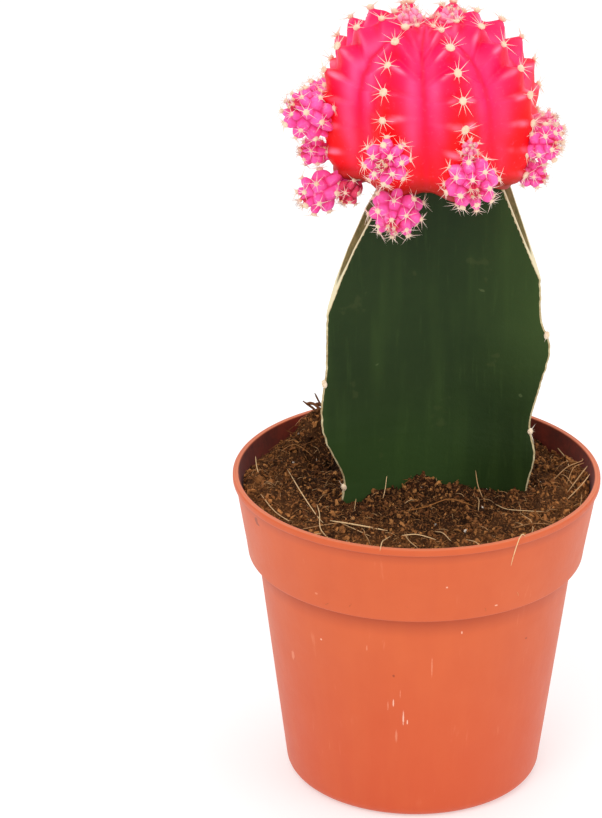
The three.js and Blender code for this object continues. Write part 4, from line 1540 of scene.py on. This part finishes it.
# Offsets: bearing in degrees and distance from the scion's axis, height, radius, then the
# bearing and the rise in degrees of the crown, and the neck's reach.
OFFSETS = [
    (201.2, 19.3, 106.5, 3.8, 208, 38, 4.6),
    (194.8, 17.8, 99.9, 2.2, 196, 8, 3.2),
    (202.7, 17.9, 94.4, 3.05, 201, -22, 5.2),
    (210.5, 14.0, 94.6, 1.9, 228, -40, 3.2),
    (249.1, 18.2, 103.2, 3.4, 258, 10, 3.8),
    (248.4, 13.7, 94.2, 3.95, 258, -30, 4.6),
    (288.4, 17.7, 100.2, 3.95, 278, -4, 4.2),
    (288.4, 16.7, 105.0, 1.3, 286, 32, 2.0),
    (337.4, 17.1, 102.3, 2.9, 326, 12, 3.4),
    (340.3, 15.4, 97.3, 2.35, 334, -20, 3.4),
    (352.8, 16.7, 104.5, 1.15, 351, 14, 3.8),
    (186.4, 3.5, 118.9, 1.85, 215, 74, 2.4),
    (4.8, 2.1, 118.8, 1.75, 330, 76, 2.4),
    (152, 18.5, 103.0, 3.3, 156, 20, 3.8),
    (128, 15.2, 96.2, 2.9, 124, -18, 4.0),
    (103, 18.2, 100.2, 3.7, 100, 2, 4.2),
    (72, 18.0, 104.2, 2.5, 70, 28, 3.2),
    (55, 15.2, 96.0, 3.2, 52, -22, 4.2),
    (22, 17.8, 98.8, 3.0, 18, 4, 3.8),
]
# An offset's outline for a radius of 1, from its crown dimple to the end of its neck.
OFFSET_OUTLINE = [
    (0, 0.8), (0.22, 0.88), (0.5, 0.84), (0.8, 0.62), (0.98, 0.25), (1.0, -0.1), (0.88, -0.42),
    (0.66, -0.72), (0.36, -0.93), (0, -1.0),
]
OFFSET_STAGGERS = [0.3, 0.8, 0.36, 0.86, 0.28, 0.78, 0.34, 0.83]
# The offsets that differ, by number.
DEEP_RED_OFFSETS = (4,)
WOOLLY_OFFSETS = (8, 11, 12, 13)
# Over these radii in mm an offset has more areoles and a finer skin, and then eight ribs.
LARGE_OFFSET, EIGHT_RIBBED_OFFSET = 2.6, 3.2


def direction(bearing, rise):
    bearing, rise = math.radians(bearing), math.radians(rise)
    flat = math.cos(rise)
    return flat * math.cos(bearing), flat * math.sin(bearing), math.sin(rise)


def make_offsets(wool, young_wool, horn):
    """The little heads round the scion, each its own pair of pieces."""
    surface = head_surface("offset surface", OFFSET_OUTLINE, OFFSET_STAGGERS)
    areoles_grown = areole_tree("offset areoles", surface, OFFSET_STAGGERS)
    trees = skin_tree("offset skin", surface), areoles_grown
    pink = pink_skin("offset_pink", (246, 58, 150), (255, 116, 196), (230, 26, 108), (226, 50, 66))
    deep = pink_skin("offset_crimson", (214, 30, 78), (240, 84, 122), (160, 12, 44), (190, 40, 50))
    pale = pink_skin(
        "offset_pale_pink", (248, 120, 170), (255, 176, 200), (232, 70, 130), (240, 120, 130)
    )
    low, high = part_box("scion")
    axis = (low + high) / 2
    for number, row in enumerate(OFFSETS, 1):
        bearing, distance, height, radius, crown_bearing, crown_rise, neck = row
        angle = math.radians(bearing)
        woolly = number in WOOLLY_OFFSETS
        large = radius > LARGE_OFFSET
        shape = {
            "Ribs": 8.0 if radius > EIGHT_RIBBED_OFFSET else 6.0, "Rows": 4.4 if large else 3.4,
            "Size": radius * MM, "Neck": neck / radius, "Furrow": 0.06, "Step": 0.0,
            "Swell": 0.29, "Chevron": 0.0, "Crowding": 0.95, "Unevenness": 0.1, "Widest": 1.0,
            "Whim": number * 3.7, "Sway": 0.07, "Drift": (0.0, 0.0, 0.0), "Slope": (0.0, 0.0, 0.0),
        }
        place = {
            "Turn": number * 0.61,
            "Crown": direction(crown_bearing, crown_rise),
            "Place": (
                axis.x + distance * math.cos(angle) * MM,
                axis.y + distance * math.sin(angle) * MM,
                height * MM,
            ),
        }
        tint = deep if number in DEEP_RED_OFFSETS else pale if woolly else pink
        columns, rings = (80, 44) if large else (60, 34)
        skin = {"Columns": columns, "Rings": rings, "Material": tint}
        scale = 1.0 if large else 0.72
        areoles = {
            "Pad": 0.42 * scale * MM, "Spines": 7, "Spine Length": 2.0 * scale * MM,
            "Spine Girth": 0.058 * MM, "Hairs": 6, "Comb": 0.0, "Seed": SEED + number * 11,
            "Wool": young_wool if woolly else wool, "Horn": horn, "First": 0.0, "Last": 0.68,
            "Young": 0.95 if woolly else 0.24, "Lift": 0.2,
        }
        name = f"offset_{number:02d}"
        make_head(name, trees, shape, place, skin, areoles)


# ---- Studio ----


def make_floor():
    finish = Finish("floor", Emission_Color=WHITE, Emission_Strength=0.42)
    finish.tone = finish.mix(finish.mottle(3.0), (206, 206, 206), (212, 212, 212))
    finish.finished(0.9)
    reach = 4.0
    corners = [(-reach, -reach, 0), (reach, -reach, 0), (reach, reach, 0), (-reach, reach, 0)]
    mesh = mesh_of("floor", corners, [(0, 1, 2, 3)], smooth=False)
    new_piece("studio_floor", mesh, [finish.material])


# What the lamps are turned to, in metres.
LIT_CENTRE = Vector((0, 0, 0.06))


def softbox(name, place, size, power):
    light = bpy.data.lights.new(name, "AREA")
    light.shape = "DISK"
    light.size = size
    light.energy = power
    lamp = bpy.data.objects.new(name, light)
    lamp.location = place
    aim = LIT_CENTRE - Vector(place)
    lamp.rotation_euler = aim.to_track_quat("-Z", "Y").to_euler()
    bpy.context.scene.collection.objects.link(lamp)


def make_lights():
    softbox("key", (-0.35, -0.9, 1.0), 0.7, 5.0)
    softbox("fill", (0.9, -0.5, 0.6), 0.8, 2.0)
    softbox("top", (0.1, 0.2, 1.3), 0.9, 3.0)
    world = bpy.data.worlds.new("studio")
    world.use_nodes = True
    background = world.node_tree.nodes["Background"]
    background.inputs["Color"].default_value = WHITE
    background.inputs["Strength"].default_value = 0.8
    bpy.context.scene.world = world
    bpy.context.scene.view_settings.view_transform = "Standard"


CAMERA_RISE = math.radians(24.66)
CAMERA_ROLL = math.radians(0.215)
CAMERA_DISTANCE = 0.6865
LENS = 202.05
# The point that the camera turns about, and how far its aim lies from it, in metres.
VIEW_CENTRE = Vector((0, 0, 0.05))
AIM_ACROSS, AIM_UP = -0.017406, 0.0078


def make_camera():
    """A long lens in front of the pot, looking down on it, tipped a little to one side."""
    upward = Vector((0, math.sin(CAMERA_RISE), math.cos(CAMERA_RISE)))
    back = Vector((0, -math.cos(CAMERA_RISE), math.sin(CAMERA_RISE)))
    camera = bpy.data.objects.new("camera", bpy.data.cameras.new("camera"))
    camera.data.lens = LENS
    camera.location = VIEW_CENTRE + back * CAMERA_DISTANCE
    aim = VIEW_CENTRE + Vector((AIM_ACROSS, 0, 0)) + upward * AIM_UP - camera.location
    level = aim.to_track_quat("-Z", "Y")
    camera.rotation_mode = "QUATERNION"
    camera.rotation_quaternion = Quaternion(aim.normalized(), -CAMERA_ROLL) @ level
    camera.data.clip_start = 0.01
    camera.data.clip_end = 20.0
    bpy.context.scene.collection.objects.link(camera)
    bpy.context.scene.camera = camera


make_camera()
make_lights()
make_floor()
make_pot()
make_peat_bed()
make_rootstock()
wool = wool_finish("areole_wool", (255, 240, 224))
offset_wool = wool_finish("offset_wool", (244, 172, 124))
young_wool = wool_finish("young_wool", (255, 206, 192))
horn = spine_finish()
make_margin_areoles(wool, horn)
make_scion(wool, horn)
make_offsets(offset_wool, young_wool, horn)
